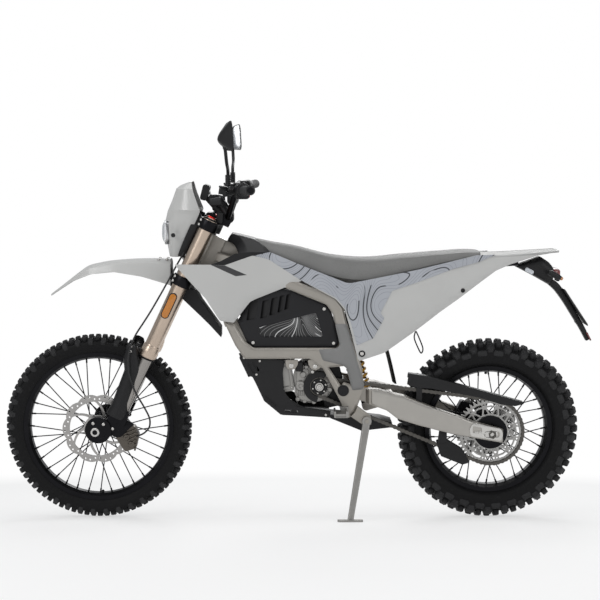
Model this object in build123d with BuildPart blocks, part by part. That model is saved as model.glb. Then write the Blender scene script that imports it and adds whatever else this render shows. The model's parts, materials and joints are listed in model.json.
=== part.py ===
from build123d import *
import math
import os

# Electric off-road motorcycle, in millimetres, one solid sub-part for each piece of the bike.
# It is modelled upright: x runs rearward, y to the rider's right and z up from the ground.
# The last section leans the whole bike to the left onto its side stand and writes the pieces.

# ---------------------------------------------------------------- driving dimensions
HEAD_X = 344.3            # steering axis at the lower fork clamp
HEAD_Z = 894.6
RAKE = 25.0               # steering axis from the vertical, degrees
FORK_SPREAD = 105.0       # each fork leg from the centre line
FORK_OFFSET = 24.0        # fork legs ahead of the steering axis
AXLE_LEAD = 57.0          # front axle ahead of the fork legs
FORK_TUBE_R = 28.0        # upper (outer) fork tube
FORK_LEG_R = 23.5         # lower (sliding) fork tube
FORK_TUBE_LOW = -305.0    # ends of the upper tubes, along the fork from the lower clamp
FORK_TUBE_TOP = 247.0
CLAMP_GAP = 226.0         # upper clamp above the lower clamp, along the fork
CLAMP_HEIGHT = 38.0

FRONT_TYRE_R = 348.0
FRONT_TYRE_W = 86.0
FRONT_RIM_R = 257.0       # inner face of the rim, where the spokes end
REAR_TYRE_R = 340.0
REAR_TYRE_W = 118.0
REAR_RIM_R = 215.0
SPOKES = 36
SPOKE_R = 2.0

PIVOT_X = 913.0           # swingarm pivot
PIVOT_Z = 505.0
ARM_REACH = 551.0         # rear axle behind the pivot
FRAME_IN = 98.0           # frame side rails, inner face from the centre line
FRAME_WALL = 26.0         # width of a frame rail
BATTERY_HALF = FRAME_IN - 6.0    # half width of the battery pack
PANEL = 3.5               # body panels' wall

CHAIN_Y = -80.0           # chain line
CHAIN_PITCH = 15.875
REAR_TEETH = 48
DRIVE_TEETH = 13
DRIVE_X = 826.0           # drive sprocket
DRIVE_Z = 511.0

BAR_HALF = 410.0          # handlebar ends from the centre line
BAR_R = 11.0
LEAN = 10.0               # parked lean to the left, degrees

SHOCK_TOP = Vector(905, 0, 790)
SHOCK_FOOT = Vector(1005, 0, 425)
SHOCK_HALF = 16.0         # half width of the shock's eyes
SHOCK_EAR = 24.0          # outside of the ears that hold them
SHOCK_PIN = 7.0

GAP = 0.3                 # running clearance between fitted pieces

# ---------------------------------------------------------------- places worked out from them
rake_sin = math.sin(math.radians(RAKE))
rake_cos = math.cos(math.radians(RAKE))


def on_fork(ahead, along, y=0.0):
    """Point behind the steering axis by `ahead` (negative is ahead) and `along` it from the lower clamp."""
    return (
        HEAD_X + ahead * rake_cos + along * rake_sin,
        y,
        HEAD_Z - ahead * rake_sin + along * rake_cos,
    )


def fork_level(along):
    """Plane square to the steering axis: its x is rearward, its y to the right."""
    return Plane(origin=on_fork(0, along), x_dir=(rake_cos, 0, -rake_sin), z_dir=(rake_sin, 0, rake_cos))


def fork_side(y=0.0):
    """Lengthwise plane at y: its x runs rearward from the steering axis and its y up along it."""
    return Plane(origin=(HEAD_X, y, HEAD_Z), x_dir=(rake_cos, 0, -rake_sin), z_dir=(0, -1, 0))


def side(y=0.0):
    """Lengthwise upright plane at y: its x runs rearward, its y up, and it faces left."""
    return Plane.XZ.offset(-y)


def facing_left(x, y, z):
    """Plane across an axle, square to y: its x runs rearward and extruding goes to the left."""
    return Plane(origin=(x, y, z), x_dir=(1, 0, 0), z_dir=(0, -1, 0))


def wheel_section(x, z):
    """Crosswise plane through an axle: its x is along the axle and its y is the radius."""
    return Plane(origin=(x, 0, z), x_dir=(0, 1, 0), z_dir=(1, 0, 0))


def pitch_radius(teeth):
    """Radius of a chain sprocket's pitch circle."""
    return CHAIN_PITCH / (2 * math.sin(math.pi / teeth))


axle_ahead = -(FORK_OFFSET + AXLE_LEAD)
axle_along = (FRONT_TYRE_R - HEAD_Z + axle_ahead * rake_sin) / rake_cos
front_x = on_fork(axle_ahead, axle_along)[0]
front_z = FRONT_TYRE_R
rear_x = PIVOT_X + ARM_REACH
rear_z = REAR_TYRE_R
frame_out = FRAME_IN + FRAME_WALL
rear_pitch_r = pitch_radius(REAR_TEETH)
drive_pitch_r = pitch_radius(DRIVE_TEETH)


def along_arm(share, above):
    """Point at a share of the way from the swingarm's pivot to the rear axle, and `above` that line."""
    reach = math.hypot(rear_x - PIVOT_X, rear_z - PIVOT_Z)
    run_x, run_z = (rear_x - PIVOT_X) / reach, (rear_z - PIVOT_Z) / reach
    return PIVOT_X + share * reach * run_x - above * run_z, PIVOT_Z + share * reach * run_z + above * run_x


def skin(levels, wall):
    """Curved upright panel on the left side, lofted through (z, [(x, distance outside the frame)...]) levels."""
    with BuildPart() as panel:
        for z, stations in levels:
            points = [(x, -frame_out - out) for x, out in stations]
            inner = [(x, y + wall) for x, y in reversed(points)]
            with BuildSketch(Plane.XY.offset(z)):
                with BuildLine():
                    Spline(*points)
                    Line(points[-1], inner[0])
                    Spline(*inner)
                    Line(inner[-1], points[0])
                make_face()
        loft()
    return panel.part


def tube_run(points, radius, bends):
    """Round bar along straight runs joined by tangent arcs."""
    with BuildPart() as bar:
        with BuildLine() as spine:
            FilletPolyline(*points, radius=bends)
        with BuildSketch(Plane(origin=spine.line @ 0, z_dir=spine.line % 0)):
            Circle(radius)
        sweep(path=spine.line)
    return bar.part


# ---------------------------------------------------------------- wheels

def tyre(x, z, radius, width, rim_r, rim_w):
    """Solid ring of rubber over the rim's flanges, with a domed tread."""
    bead = rim_r + 11
    flange = bead + 13
    half = width / 2
    shoulder = (half * 0.86, radius - width * 0.17)
    with BuildPart() as ring:
        with BuildSketch(wheel_section(x, z)):
            with BuildLine():
                Polyline(
                    (-rim_w - 1, flange + GAP),
                    (-rim_w + 4 + GAP, flange + GAP),
                    (-rim_w + 4 + GAP, bead + GAP),
                    (rim_w - 4 - GAP, bead + GAP),
                    (rim_w - 4 - GAP, flange + GAP),
                    (rim_w + 1, flange + GAP),
                )
                ThreePointArc((rim_w + 1, flange + GAP), (half, (flange + radius) / 2 + 2), shoulder)
                ThreePointArc(shoulder, (0, radius), (-shoulder[0], shoulder[1]))
                ThreePointArc(
                    (-shoulder[0], shoulder[1]), (-half, (flange + radius) / 2 + 2),
                    (-rim_w - 1, flange + GAP),
                )
            make_face()
        revolve(axis=Axis((x, 0, z), (0, 1, 0)))
    return ring.part


def rim(x, z, rim_r, rim_w):
    """Drop-centre rim, with rim_w its half width over the flanges."""
    bead = rim_r + 11
    flange = bead + 13
    with BuildPart() as hoop:
        with BuildSketch(wheel_section(x, z)):
            Polygon(
                (-rim_w, flange), (-rim_w + 4, flange), (-rim_w + 4, bead), (-rim_w + 9, bead), (-9, rim_r + 3),
                (9, rim_r + 3), (rim_w - 9, bead), (rim_w - 4, bead), (rim_w - 4, flange), (rim_w, flange),
                (rim_w, bead - 3), (14, rim_r), (-14, rim_r), (-rim_w, bead - 3), align=None,
            )
        revolve(axis=Axis((x, 0, z), (0, 1, 0)))
    return hoop.part


def laced_hub(x, z, profile, flange_r, flange_y, rim_r, bore):
    """Hub turned to the (y, radius) profile, with spokes crossed three times between its flanges and the rim."""
    head_side = 4.0       # spokes leave the flange's two faces in turn
    pairs = SPOKES // 4
    step = 360 / (SPOKES // 2)
    spoke_planes = []
    for flange in (-1, 1):
        for hole in range(2 * pairs):
            turn = 1 if hole % 2 else -1
            hub_angle = math.radians(hole * step + (step / 2 if flange > 0 else 0))
            rim_angle = hub_angle + math.radians(turn * 3 * step)
            start = Vector(
                x + flange_r * math.cos(hub_angle),
                flange * flange_y + turn * head_side,
                z + flange_r * math.sin(hub_angle),
            )
            end = Vector(x + rim_r * math.cos(rim_angle), flange * 5, z + rim_r * math.sin(rim_angle))
            spoke_planes.append((start, end))
    starts = [Plane(origin=a, z_dir=b - a) for a, b in spoke_planes]
    nipples = [Plane(origin=b, z_dir=b - a) for a, b in spoke_planes]
    reach = max((b - a).length for a, b in spoke_planes) + 3
    with BuildPart() as wheel:
        with BuildSketch(wheel_section(x, z)):
            Polygon(*profile, align=None)
        revolve(axis=Axis((x, 0, z), (0, 1, 0)))
        with BuildSketch(*starts):
            Circle(SPOKE_R)
        extrude(amount=reach)
        with BuildSketch(*[plane.offset(-14) for plane in nipples]):
            Circle(SPOKE_R + 1.2)
        extrude(amount=18)
        with BuildSketch(wheel_section(x, z)):
            with Locations((0, rim_r - GAP + 20)):
                Rectangle(60, 40)
        revolve(axis=Axis((x, 0, z), (0, 1, 0)), mode=Mode.SUBTRACT)
        with BuildSketch(facing_left(x, 150, z)):
            Circle(bore)
        extrude(amount=300, mode=Mode.SUBTRACT)
    return wheel.part


def brake_disc(x, z, y, radius, waves, hub_r, wall):
    """Wavy disc with two rows of holes, joined by slanted arms to its carrier at hub_r."""
    with BuildPart() as disc:
        with BuildSketch(facing_left(x, y + wall / 2, z)):
            Circle(radius)
            with PolarLocations(radius + 26, waves):
                Circle(31, mode=Mode.SUBTRACT)
            Circle(hub_r, mode=Mode.SUBTRACT)
            for row, turn in ((12.5, 0), (24, 180)):
                with PolarLocations(radius - row, 3 * waves, start_angle=turn / (3 * waves)):
                    Circle(3.6, mode=Mode.SUBTRACT)
            with PolarLocations(radius - 52, waves // 2):
                Polygon((-20, -14), (14, -26), (16, 16), (-14, 10), align=None, mode=Mode.SUBTRACT)
        extrude(amount=wall)
    return disc.part


FRONT_RIM_HALF = 28.0
REAR_RIM_HALF = 36.0
AXLE_R = 12.5
AXLE_BORE = 9.0
REAR_AXLE_R = 12.5

DISC_WALL = 4.0
FRONT_DISC_Y = -FORK_SPREAD + 44.5
REAR_DISC_Y = 71.5

front_tyre = tyre(front_x, front_z, FRONT_TYRE_R, FRONT_TYRE_W, FRONT_RIM_R, FRONT_RIM_HALF)
front_rim = rim(front_x, front_z, FRONT_RIM_R, FRONT_RIM_HALF)
rear_tyre = tyre(rear_x, rear_z, REAR_TYRE_R, REAR_TYRE_W, REAR_RIM_R, REAR_RIM_HALF)
rear_rim = rim(rear_x, rear_z, REAR_RIM_R, REAR_RIM_HALF)
front_hub = laced_hub(
    front_x, front_z,
    [(FRONT_DISC_Y + 2.5, 0), (FRONT_DISC_Y + 2.5, 30), (-50, 30), (-50, 22), (-38, 24), (-38, 37), (-32, 37),
     (-32, 24), (0, 20), (32, 24), (32, 37), (38, 37), (38, 24), (FORK_SPREAD - 43, 22), (FORK_SPREAD - 43, 0)],
    33, 35, FRONT_RIM_R, AXLE_R + GAP,
)
rear_hub = laced_hub(
    rear_x, rear_z,
    [(-76.5, 0), (-76.5, 57), (-66, 57), (-62, 34), (-44, 36), (-44, 52), (-38, 52), (-38, 36), (0, 28),
     (38, 36), (38, 52), (44, 52), (44, 34), (69, 32), (69, 0)],
    48, 41, REAR_RIM_R, REAR_AXLE_R + GAP,
)
FRONT_DISC_R = 130.0
REAR_DISC_R = 120.0
front_brake_disc = brake_disc(front_x, front_z, FRONT_DISC_Y, FRONT_DISC_R, 10, 30.4, DISC_WALL)
rear_brake_disc = brake_disc(rear_x, rear_z, REAR_DISC_Y, REAR_DISC_R, 10, 24, DISC_WALL)

tooth_tip = 4.5           # tooth tips above the pitch circle
roller_r = 5.2


def sprocket(x, z, teeth, bore, wall):
    """Flat sprocket whose tooth spaces seat the chain's rollers."""
    pitch_r = pitch_radius(teeth)
    with BuildPart() as wheel:
        with BuildSketch(facing_left(x, CHAIN_Y + wall / 2, z)):
            Circle(pitch_r + tooth_tip)
            with PolarLocations(pitch_r, teeth):
                Circle(roller_r, mode=Mode.SUBTRACT)
                Polygon((0, -roller_r), (9, -7.4), (9, 7.4), (0, roller_r), align=None, mode=Mode.SUBTRACT)
            if bore:
                Circle(bore, mode=Mode.SUBTRACT)
        extrude(amount=wall)
    return wheel.part


SPROCKET_WALL = 5.5
with BuildPart() as rear_sprocket:
    add(sprocket(rear_x, rear_z, REAR_TEETH, 72, SPROCKET_WALL))
    with BuildSketch(facing_left(rear_x, CHAIN_Y + SPROCKET_WALL / 2, rear_z)):
        Circle(80)
        Circle(20, mode=Mode.SUBTRACT)
    extrude(amount=SPROCKET_WALL)
    with BuildSketch(facing_left(rear_x, CHAIN_Y + SPROCKET_WALL / 2, rear_z)):
        with PolarLocations(0, 6):
            Polygon((84, 0), (106, 21), (109, 0), (106, -21), align=None)
        with PolarLocations(0, 6, start_angle=30):
            Polygon((109, 0), (82, 17), (84, 0), (82, -17), align=None)
        with PolarLocations(48, 6):
            SlotOverall(26, 12, rotation=90)
    extrude(amount=SPROCKET_WALL, mode=Mode.SUBTRACT)

# ---------------------------------------------------------------- fork and steering
CAP_R = FORK_TUBE_R - 4
with BuildPart() as fork_tubes:
    with BuildSketch(fork_level(FORK_TUBE_LOW)):
        with Locations((-FORK_OFFSET, -FORK_SPREAD), (-FORK_OFFSET, FORK_SPREAD)):
            Circle(FORK_TUBE_R)
    extrude(amount=FORK_TUBE_TOP - FORK_TUBE_LOW)
    with BuildSketch(fork_level(FORK_TUBE_LOW)):
        with Locations((-FORK_OFFSET, -FORK_SPREAD), (-FORK_OFFSET, FORK_SPREAD)):
            Circle(FORK_TUBE_R + 3)
    extrude(amount=42)
    with BuildSketch(fork_level(FORK_TUBE_TOP)):
        with Locations((-FORK_OFFSET, -FORK_SPREAD), (-FORK_OFFSET, FORK_SPREAD)):
            RegularPolygon(CAP_R - 4, 6)
    extrude(amount=8)
    with BuildSketch(fork_level(FORK_TUBE_LOW)):
        with Locations((-FORK_OFFSET, -FORK_SPREAD), (-FORK_OFFSET, FORK_SPREAD)):
            Circle(FORK_LEG_R + GAP)
    extrude(amount=90, mode=Mode.SUBTRACT)

LUG_TOP = axle_along + 118
AXLE_PROUD = 24.0         # axle ends beyond the fork legs' centres
with BuildPart() as fork_legs:
    with BuildSketch(fork_level(axle_along + 60)):
        with Locations((-FORK_OFFSET, -FORK_SPREAD), (-FORK_OFFSET, FORK_SPREAD)):
            Circle(FORK_LEG_R)
    extrude(amount=FORK_TUBE_LOW + 80 - (axle_along + 60))
    with BuildSketch(fork_side(-FORK_SPREAD + 22)):
        with Locations((axle_ahead, axle_along)):
            Circle(30)
        Polygon(
            (axle_ahead - 30, axle_along), (axle_ahead, axle_along - 30), (axle_ahead + 25, axle_along - 17),
            (-FORK_OFFSET + 30, axle_along + 60), (-FORK_OFFSET + 30, LUG_TOP),
            (-FORK_OFFSET - 30, LUG_TOP), (-FORK_OFFSET - 38, axle_along + 60), align=None,
        )
    extrude(amount=44)
    mirror(about=Plane.XZ)
    with BuildSketch(facing_left(front_x, FORK_SPREAD + AXLE_PROUD, front_z)):
        Circle(AXLE_R)
    extrude(amount=2 * (FORK_SPREAD + AXLE_PROUD))
    with BuildSketch(facing_left(front_x, FORK_SPREAD + 40, front_z)):
        Circle(AXLE_BORE)
    extrude(amount=2 * FORK_SPREAD + 80, mode=Mode.SUBTRACT)

STEM_R = 15.0
clamp_grip = FORK_TUBE_R + 9
with BuildPart() as triple_clamps:
    for level in (0.0, CLAMP_GAP):
        with BuildSketch(fork_level(level - CLAMP_HEIGHT / 2)):
            with Locations((-FORK_OFFSET, -FORK_SPREAD), (-FORK_OFFSET, FORK_SPREAD)):
                Circle(clamp_grip)
            Polygon(
                (-FORK_OFFSET - 26, -FORK_SPREAD), (-FORK_OFFSET - 14, 0), (-FORK_OFFSET - 26, FORK_SPREAD),
                (-FORK_OFFSET + 28, FORK_SPREAD), (26, 34), (26, -34), (-FORK_OFFSET + 28, -FORK_SPREAD), align=None,
            )
            with Locations((-FORK_OFFSET, -FORK_SPREAD), (-FORK_OFFSET, FORK_SPREAD)):
                Circle(FORK_TUBE_R + GAP, mode=Mode.SUBTRACT)
        extrude(amount=CLAMP_HEIGHT)
    with BuildSketch(fork_level(0)):
        Circle(STEM_R)
    extrude(amount=CLAMP_GAP + CLAMP_HEIGHT / 2 + 8)

guard_ahead = -FORK_OFFSET - 18
with BuildPart() as fork_guards:
    with BuildSketch(fork_level(axle_along + 4)):
        with Locations((guard_ahead, -FORK_SPREAD - 2)):
            Ellipse(37, 36)
        with Locations((guard_ahead - 20, -FORK_SPREAD - 22)):
            Rectangle(96, 78, mode=Mode.INTERSECT)
        with Locations((guard_ahead + 3, -FORK_SPREAD - 2)):
            Ellipse(37 - PANEL, 36 - PANEL, mode=Mode.SUBTRACT)
    extrude(amount=FORK_TUBE_LOW - 12 - (axle_along + 4))
    with BuildSketch(fork_side(-60)):
        Polygon(
            (axle_ahead - 60, axle_along - 20), (-FORK_OFFSET + 60, axle_along - 20), (-FORK_OFFSET + 60, LUG_TOP + 1),
            (-FORK_OFFSET - 32, LUG_TOP + 1), (-FORK_OFFSET - 44, axle_along + 62), (axle_ahead - 40, axle_along + 10),
            align=None,
        )
    extrude(amount=FORK_SPREAD - 60 + AXLE_PROUD + GAP, mode=Mode.SUBTRACT)
    mirror(about=Plane.XZ)

CALIPER_SLOT = 14.0       # room for the disc between the pads
with BuildPart() as front_brake_caliper:
    with BuildSketch(side(FRONT_DISC_Y + 22)):
        Polygon(
            (front_x + 88, front_z + 8), (front_x + 140, front_z + 14), (front_x + 156, front_z - 22),
            (front_x + 146, front_z - 70), (front_x + 104, front_z - 84), (front_x + 76, front_z - 40),
            (front_x + 52, front_z + 8), align=None,
        )
        fillet(vertices(), 10)
    extrude(amount=44)
    with BuildSketch(facing_left(front_x, FRONT_DISC_Y + CALIPER_SLOT / 2, front_z)):
        Circle(FRONT_DISC_R + 5)
    extrude(amount=CALIPER_SLOT, mode=Mode.SUBTRACT)

# Headlight cowl: a hollow number-plate shell over the fork, with the lamp below it.
cowl_side = [
    (357, 1267), (300, 1247), (283, 1200), (265, 1158), (252, 1120), (262, 1040), (271, 991),
    (312, 991), (345, 1056), (385, 1149), (391, 1161), (366, 1236),
]
cowl_half = [(-62, 985), (-78, 1040), (-112, 1120), (-118, 1165), (-96, 1240), (-60, 1270)]
cowl_front = cowl_half + [(-y, z) for y, z in reversed(cowl_half)]


def crossed(side_points, front_points, side_round, front_round, half=150):
    """Solid whose side view and front view are the two outlines."""
    with BuildPart() as block:
        with BuildSketch(side(half)):
            Polygon(*side_points, align=None)
            if side_round:
                fillet(vertices(), side_round)
        extrude(amount=2 * half)
        with BuildSketch(Plane.YZ.offset(-400)):
            Polygon(*front_points, align=None)
            if front_round:
                fillet(vertices(), front_round)
        extrude(amount=3000, mode=Mode.INTERSECT)
    return block.part


LAMP_Z = 1080.0
with BuildPart() as headlight_cowl:
    add(crossed(cowl_side, cowl_front, 8, 14))
    with Locations((PANEL + 14, 0, -4)):
        add(crossed(cowl_side, [(y * 0.93, z) for y, z in cowl_front], 0, 0), mode=Mode.SUBTRACT)
    with BuildSketch(Plane.YZ.offset(150)):
        with Locations((0, LAMP_Z)):
            RectangleRounded(116, 84, 24)
    extrude(amount=200, mode=Mode.SUBTRACT)

with BuildPart() as headlight_lamp:
    with BuildSketch(Plane.YZ.offset(258)):
        with Locations((0, LAMP_Z)):
            RectangleRounded(115, 83, 23.5)
    with BuildSketch(Plane.YZ.offset(306)):
        with Locations((0, LAMP_Z + 2)):
            RectangleRounded(84, 64, 20)
    loft()
    with BuildSketch(fork_level(140)):
        Polygon(
            (-42, 100), (-42, 80), (-104, 62), (-104, -62), (-42, -80), (-42, -100), (-52, -100), (-60, -77.6),
            (-113, -77.6), (-113, 77.6), (-60, 77.6), (-52, 100), align=None,
        )
        with Locations((-FORK_OFFSET, FORK_SPREAD), (-FORK_OFFSET, -FORK_SPREAD)):
            Circle(FORK_TUBE_R + 5)
        with Locations((-FORK_OFFSET, FORK_SPREAD), (-FORK_OFFSET, -FORK_SPREAD)):
            Circle(FORK_TUBE_R + GAP, mode=Mode.SUBTRACT)
    extrude(amount=18)

with BuildPart() as front_fender:
    add(crossed(
        [(-171, 848), (-36, 951), (11, 964), (114, 977), (278, 981), (272, 965), (268, 890), (172, 918),
         (70, 935), (-15, 927), (-82, 901)],
        [(-70, 840), (-74, 900), (-66, 960), (-30, 982), (30, 982), (66, 960), (74, 900), (70, 840)], 0, 0,
    ))
    with Locations((0, 0, -PANEL)):
        add(crossed(
            [(-168, 845), (-36, 951), (11, 964), (114, 977), (400, 984), (400, 800), (-168, 800)],
            [(-66, 740), (-70, 900), (-62, 957), (-28, 979), (28, 979), (62, 957), (70, 900), (66, 740)], 0, 0,
        ), mode=Mode.SUBTRACT)
    with BuildSketch(Plane.XY.offset(800)):
        Polygon(
            (-200, -28), (-120, -52), (0, -70), (300, -80), (300, 80), (0, 70), (-120, 52), (-200, 28),
            align=None,
        )
    extrude(amount=250, mode=Mode.INTERSECT)

with BuildPart() as fender_blade:
    with BuildSketch(side(48)):
        Polygon(
            (274, 896), on_fork(-50, -19.3)[::2], on_fork(38, -19.3)[::2], (389, 826), (462, 723),
            (462, 689), (420, 735), (385, 770), (306, 846), (268, 890), align=None,
        )
    extrude(amount=96)
    with BuildSketch(side(26)):
        Polygon((262, 975.2), (272, 975.2), (290, 890), (272, 884), align=None)
    extrude(amount=52)
    with BuildSketch(side(44)):
        Polygon(
            (260, 880), (272, 884), (333, 851), (380, 806), (456, 706), (456, 650), (260, 650), align=None,
        )
    extrude(amount=88, mode=Mode.SUBTRACT)

# Handlebar on its risers, with grips, controls and mirrors.
bar_base = on_fork(30, CLAMP_GAP + CLAMP_HEIGHT / 2 + 34)
bar_points = [
    (bar_base[0], 0, bar_base[2]),
    (bar_base[0], 70, bar_base[2]),
    (bar_base[0] + 34, 165, 1236),
    (bar_base[0] + 92, BAR_HALF, 1246),
]
with BuildPart() as handlebar:
    add(tube_run(bar_points, BAR_R, [60, 50]))
    mirror(about=Plane.XZ)
    with BuildSketch(side(52)):
        with Locations((bar_base[0], bar_base[2])):
            Circle(19)
        Polygon(
            on_fork(14, CLAMP_GAP + CLAMP_HEIGHT / 2 + GAP)[::2], on_fork(46, CLAMP_GAP + CLAMP_HEIGHT / 2 + GAP)[::2],
            (bar_base[0] + 17, bar_base[2] - 6), (bar_base[0] - 17, bar_base[2] + 4), align=None,
        )
    extrude(amount=24)
    with BuildSketch(side(-28)):
        with Locations((bar_base[0], bar_base[2])):
            Circle(19)
        Polygon(
            on_fork(14, CLAMP_GAP + CLAMP_HEIGHT / 2 + GAP)[::2], on_fork(46, CLAMP_GAP + CLAMP_HEIGHT / 2 + GAP)[::2],
            (bar_base[0] + 17, bar_base[2] - 6), (bar_base[0] - 17, bar_base[2] + 4), align=None,
        )
    extrude(amount=24)

bar_mid = Vector(bar_points[2])
bar_end = Vector(bar_points[3])
bar_run = (bar_end - bar_mid).normalized()


def bar_plane(from_end):
    """Plane square to the right half of the bar, this far in from its end: x rearward, y down."""
    up = Vector(0, 0, 1)
    across = up.cross(bar_run).normalized()
    return Plane(origin=bar_end - bar_run * from_end, x_dir=across * -1, z_dir=bar_run)


GRIP_LENGTH = 122.0
with BuildPart() as grips:
    with BuildSketch(bar_plane(GRIP_LENGTH)):
        Circle(17)
        Circle(BAR_R + GAP, mode=Mode.SUBTRACT)
    extrude(amount=GRIP_LENGTH - 4)
    with BuildSketch(bar_plane(GRIP_LENGTH)):
        Circle(23)
        Circle(BAR_R + GAP, mode=Mode.SUBTRACT)
    extrude(amount=7)
    mirror(about=Plane.XZ)

with BuildPart() as hand_controls:
    with BuildSketch(bar_plane(GRIP_LENGTH + 48)):
        with Locations((0, 4)):
            RectangleRounded(46, 52, 12)
        Circle(BAR_R + GAP, mode=Mode.SUBTRACT)
    extrude(amount=44)
    with BuildSketch(bar_plane(GRIP_LENGTH + 84)):
        Circle(17)
        with Locations((-22, -4)):
            RectangleRounded(34, 24, 6)
        Circle(BAR_R + GAP, mode=Mode.SUBTRACT)
    extrude(amount=30)
    lever_pivot = bar_plane(GRIP_LENGTH + 66).from_local_coords((-36, -4, 0))
    lever_tip = bar_plane(12).from_local_coords((-62, -10, 0))
    with BuildSketch(Plane(origin=lever_pivot, z_dir=lever_tip - lever_pivot)):
        RectangleRounded(14, 9, 3)
    extrude(amount=(lever_tip - lever_pivot).length)
    mirror(about=Plane.XZ)

MIRROR_X = 498.0          # mirror stems, and the heads' distance out
MIRROR_Y = 384.0
head_side = [(514, 1486), (498, 1474), (471, 1430), (482, 1394), (521, 1379), (519, 1455)]
head_front = [(-74, 1394), (-62, 1379), (58, 1379), (74, 1398), (70, 1462), (44, 1486), (-50, 1486), (-72, 1456)]
with BuildPart() as mirrors:
    perch = bar_plane(GRIP_LENGTH + 69)
    foot = perch.from_local_coords((-30, -16 - GAP, 0))
    stem = [foot, foot - perch.y_dir * 56, Vector(MIRROR_X, MIRROR_Y - 42, 1350), Vector(MIRROR_X, MIRROR_Y, 1402)]
    add(tube_run(stem, 5.5, [20, 24]))
    with BuildSketch(Plane(origin=foot, x_dir=perch.x_dir, z_dir=perch.y_dir * -1)):
        Circle(8.5)
    extrude(amount=40)
    with Locations((0, MIRROR_Y, 0)):
        add(crossed(head_side, head_front, 5, 14))
    mirror(about=Plane.XZ)

# ---------------------------------------------------------------- side stand: its hinge and reach
lean_sin = math.sin(math.radians(LEAN))
lean_cos = math.cos(math.radians(LEAN))


def tread_radius(width):
    """Radius of a tyre's domed tread across its width."""
    half, drop = width / 2 * 0.86, width * 0.17
    return (half * half + drop * drop) / (2 * drop)


ground_up = Vector(0, lean_sin, lean_cos)
ground_level = (lean_cos - 1) * tread_radius(REAR_TYRE_W)
STAND_PIVOT = Vector(999, -frame_out - 28, 394)
STAND_PIN = 7.0
STAND_EYE = 14.0          # length of the stand's eye on its pin
stand_down = Vector(-0.17, -0.25, -0.953).normalized()
stand_up = Vector(0.766, -0.10, 0.635).normalized()
hinge = Vector(0.041, -0.993, 0.070)
change = (stand_up - stand_down).normalized()
hinge = (hinge - change * hinge.dot(change)).normalized()
down_flat = (stand_down - hinge * hinge.dot(stand_down)).normalized()
up_flat = (stand_up - hinge * hinge.dot(stand_up)).normalized()
stand_swing = math.degrees(math.atan2(hinge.dot(down_flat.cross(up_flat)), down_flat.dot(up_flat)))
stand_reach = (STAND_PIVOT.dot(ground_up) - ground_level) / -stand_down.dot(ground_up)
stand_foot = STAND_PIVOT + stand_down * stand_reach

# ---------------------------------------------------------------- frame
RAIL_CORNER = 14.0        # corners of the side rails, seen from the side
RAIL_SOFT = 8.0           # their outer edges
PIVOT_R = 10.0            # swingarm's pivot pin
with BuildPart() as main_frame:
    with BuildSketch(side(frame_out)):
        Polygon(
            (476, 756), (517, 670), (550, 621), (789, 621), (839, 584), (910, 449), (895, 398), (937, 402),
            (958, 424), (972, 461), (991, 508), (981, 592), (923, 761), (911, 812), (883, 849), (640, 946),
            (628, 912), (850, 821), (873, 788), (885, 746), (901, 676), (890, 661), (584, 661), (551, 686),
            (513, 751), align=None,
        )
        fillet(vertices(), RAIL_CORNER)
        Polygon((859, 589), (925, 594), (946, 524), (915, 533), (905, 520), align=None, mode=Mode.SUBTRACT)
    extrude(amount=FRAME_WALL)
    fillet(main_frame.edges().group_by(Axis.Y)[0], RAIL_SOFT)
    rail_y = FRAME_IN + FRAME_WALL / 2
    for start, end, wide, high in (
        ((634, -rail_y, 930), (452, -40, 988), 24, 38),
        ((494, -rail_y, 752), (430, -34, 934), 24, 36),
    ):
        start = Vector(start)
        end = Vector(end)
        with BuildSketch(Plane(origin=start - (end - start) * 0.04, x_dir=(0, 1, 0), z_dir=end - start)):
            RectangleRounded(wide, high, 6)
        extrude(amount=(end - start).length * 1.06)
    mirror(about=Plane.XZ)
    with BuildSketch(fork_level(CLAMP_HEIGHT / 2 + 9)):
        Circle(31)
        Polygon((-10, -28), (57, -34), (57, 34), (-10, 28), align=None)
    extrude(amount=CLAMP_GAP - CLAMP_HEIGHT - 18)
    with BuildSketch(fork_level(0)):
        Circle(STEM_R + 0.5)
    extrude(amount=CLAMP_GAP, mode=Mode.SUBTRACT)
    for x, z, across in ((600, 641, 30), (835, 641, 26), (878, 826, 24), (918, 411, 22)):
        with BuildSketch(side(FRAME_IN + 2)):
            with Locations((x, z)):
                RectangleRounded(across, 20 if z < 500 else 30, 6)
        extrude(amount=2 * FRAME_IN + 4)
    for y in (SHOCK_EAR, -SHOCK_HALF - GAP):
        with BuildSketch(side(y)):
            with Locations((SHOCK_TOP.X, SHOCK_TOP.Z)):
                Circle(16)
            Polygon(
                (872, 830), (896, 830), (SHOCK_TOP.X + 14, SHOCK_TOP.Z), (SHOCK_TOP.X - 14, SHOCK_TOP.Z),
                align=None,
            )
        extrude(amount=SHOCK_EAR - SHOCK_HALF - GAP)
    with BuildSketch(side(SHOCK_EAR)):
        with Locations((SHOCK_TOP.X, SHOCK_TOP.Z)):
            Circle(SHOCK_PIN)
    extrude(amount=2 * SHOCK_EAR)
    with BuildSketch(facing_left(PIVOT_X, frame_out + 6, PIVOT_Z)):
        Circle(PIVOT_R)
    extrude(amount=2 * frame_out + 12)
    for y in (frame_out, -frame_out - 6):
        with BuildSketch(side(y + 6)):
            with Locations((PIVOT_X, PIVOT_Z)):
                Circle(18)
        extrude(amount=6)
    with BuildSketch(side(-frame_out + 2)):
        Polygon((941, 409), (958, 426), (966, 446), (1014, 410), (1016, 380), (992, 374), align=None)
    extrude(amount=-STAND_PIVOT.Y - STAND_EYE / 2 - GAP - frame_out)
    with BuildSketch(Plane(origin=STAND_PIVOT - hinge * 16, x_dir=down_flat, z_dir=hinge)):
        Circle(STAND_PIN)
    extrude(amount=26)

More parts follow.
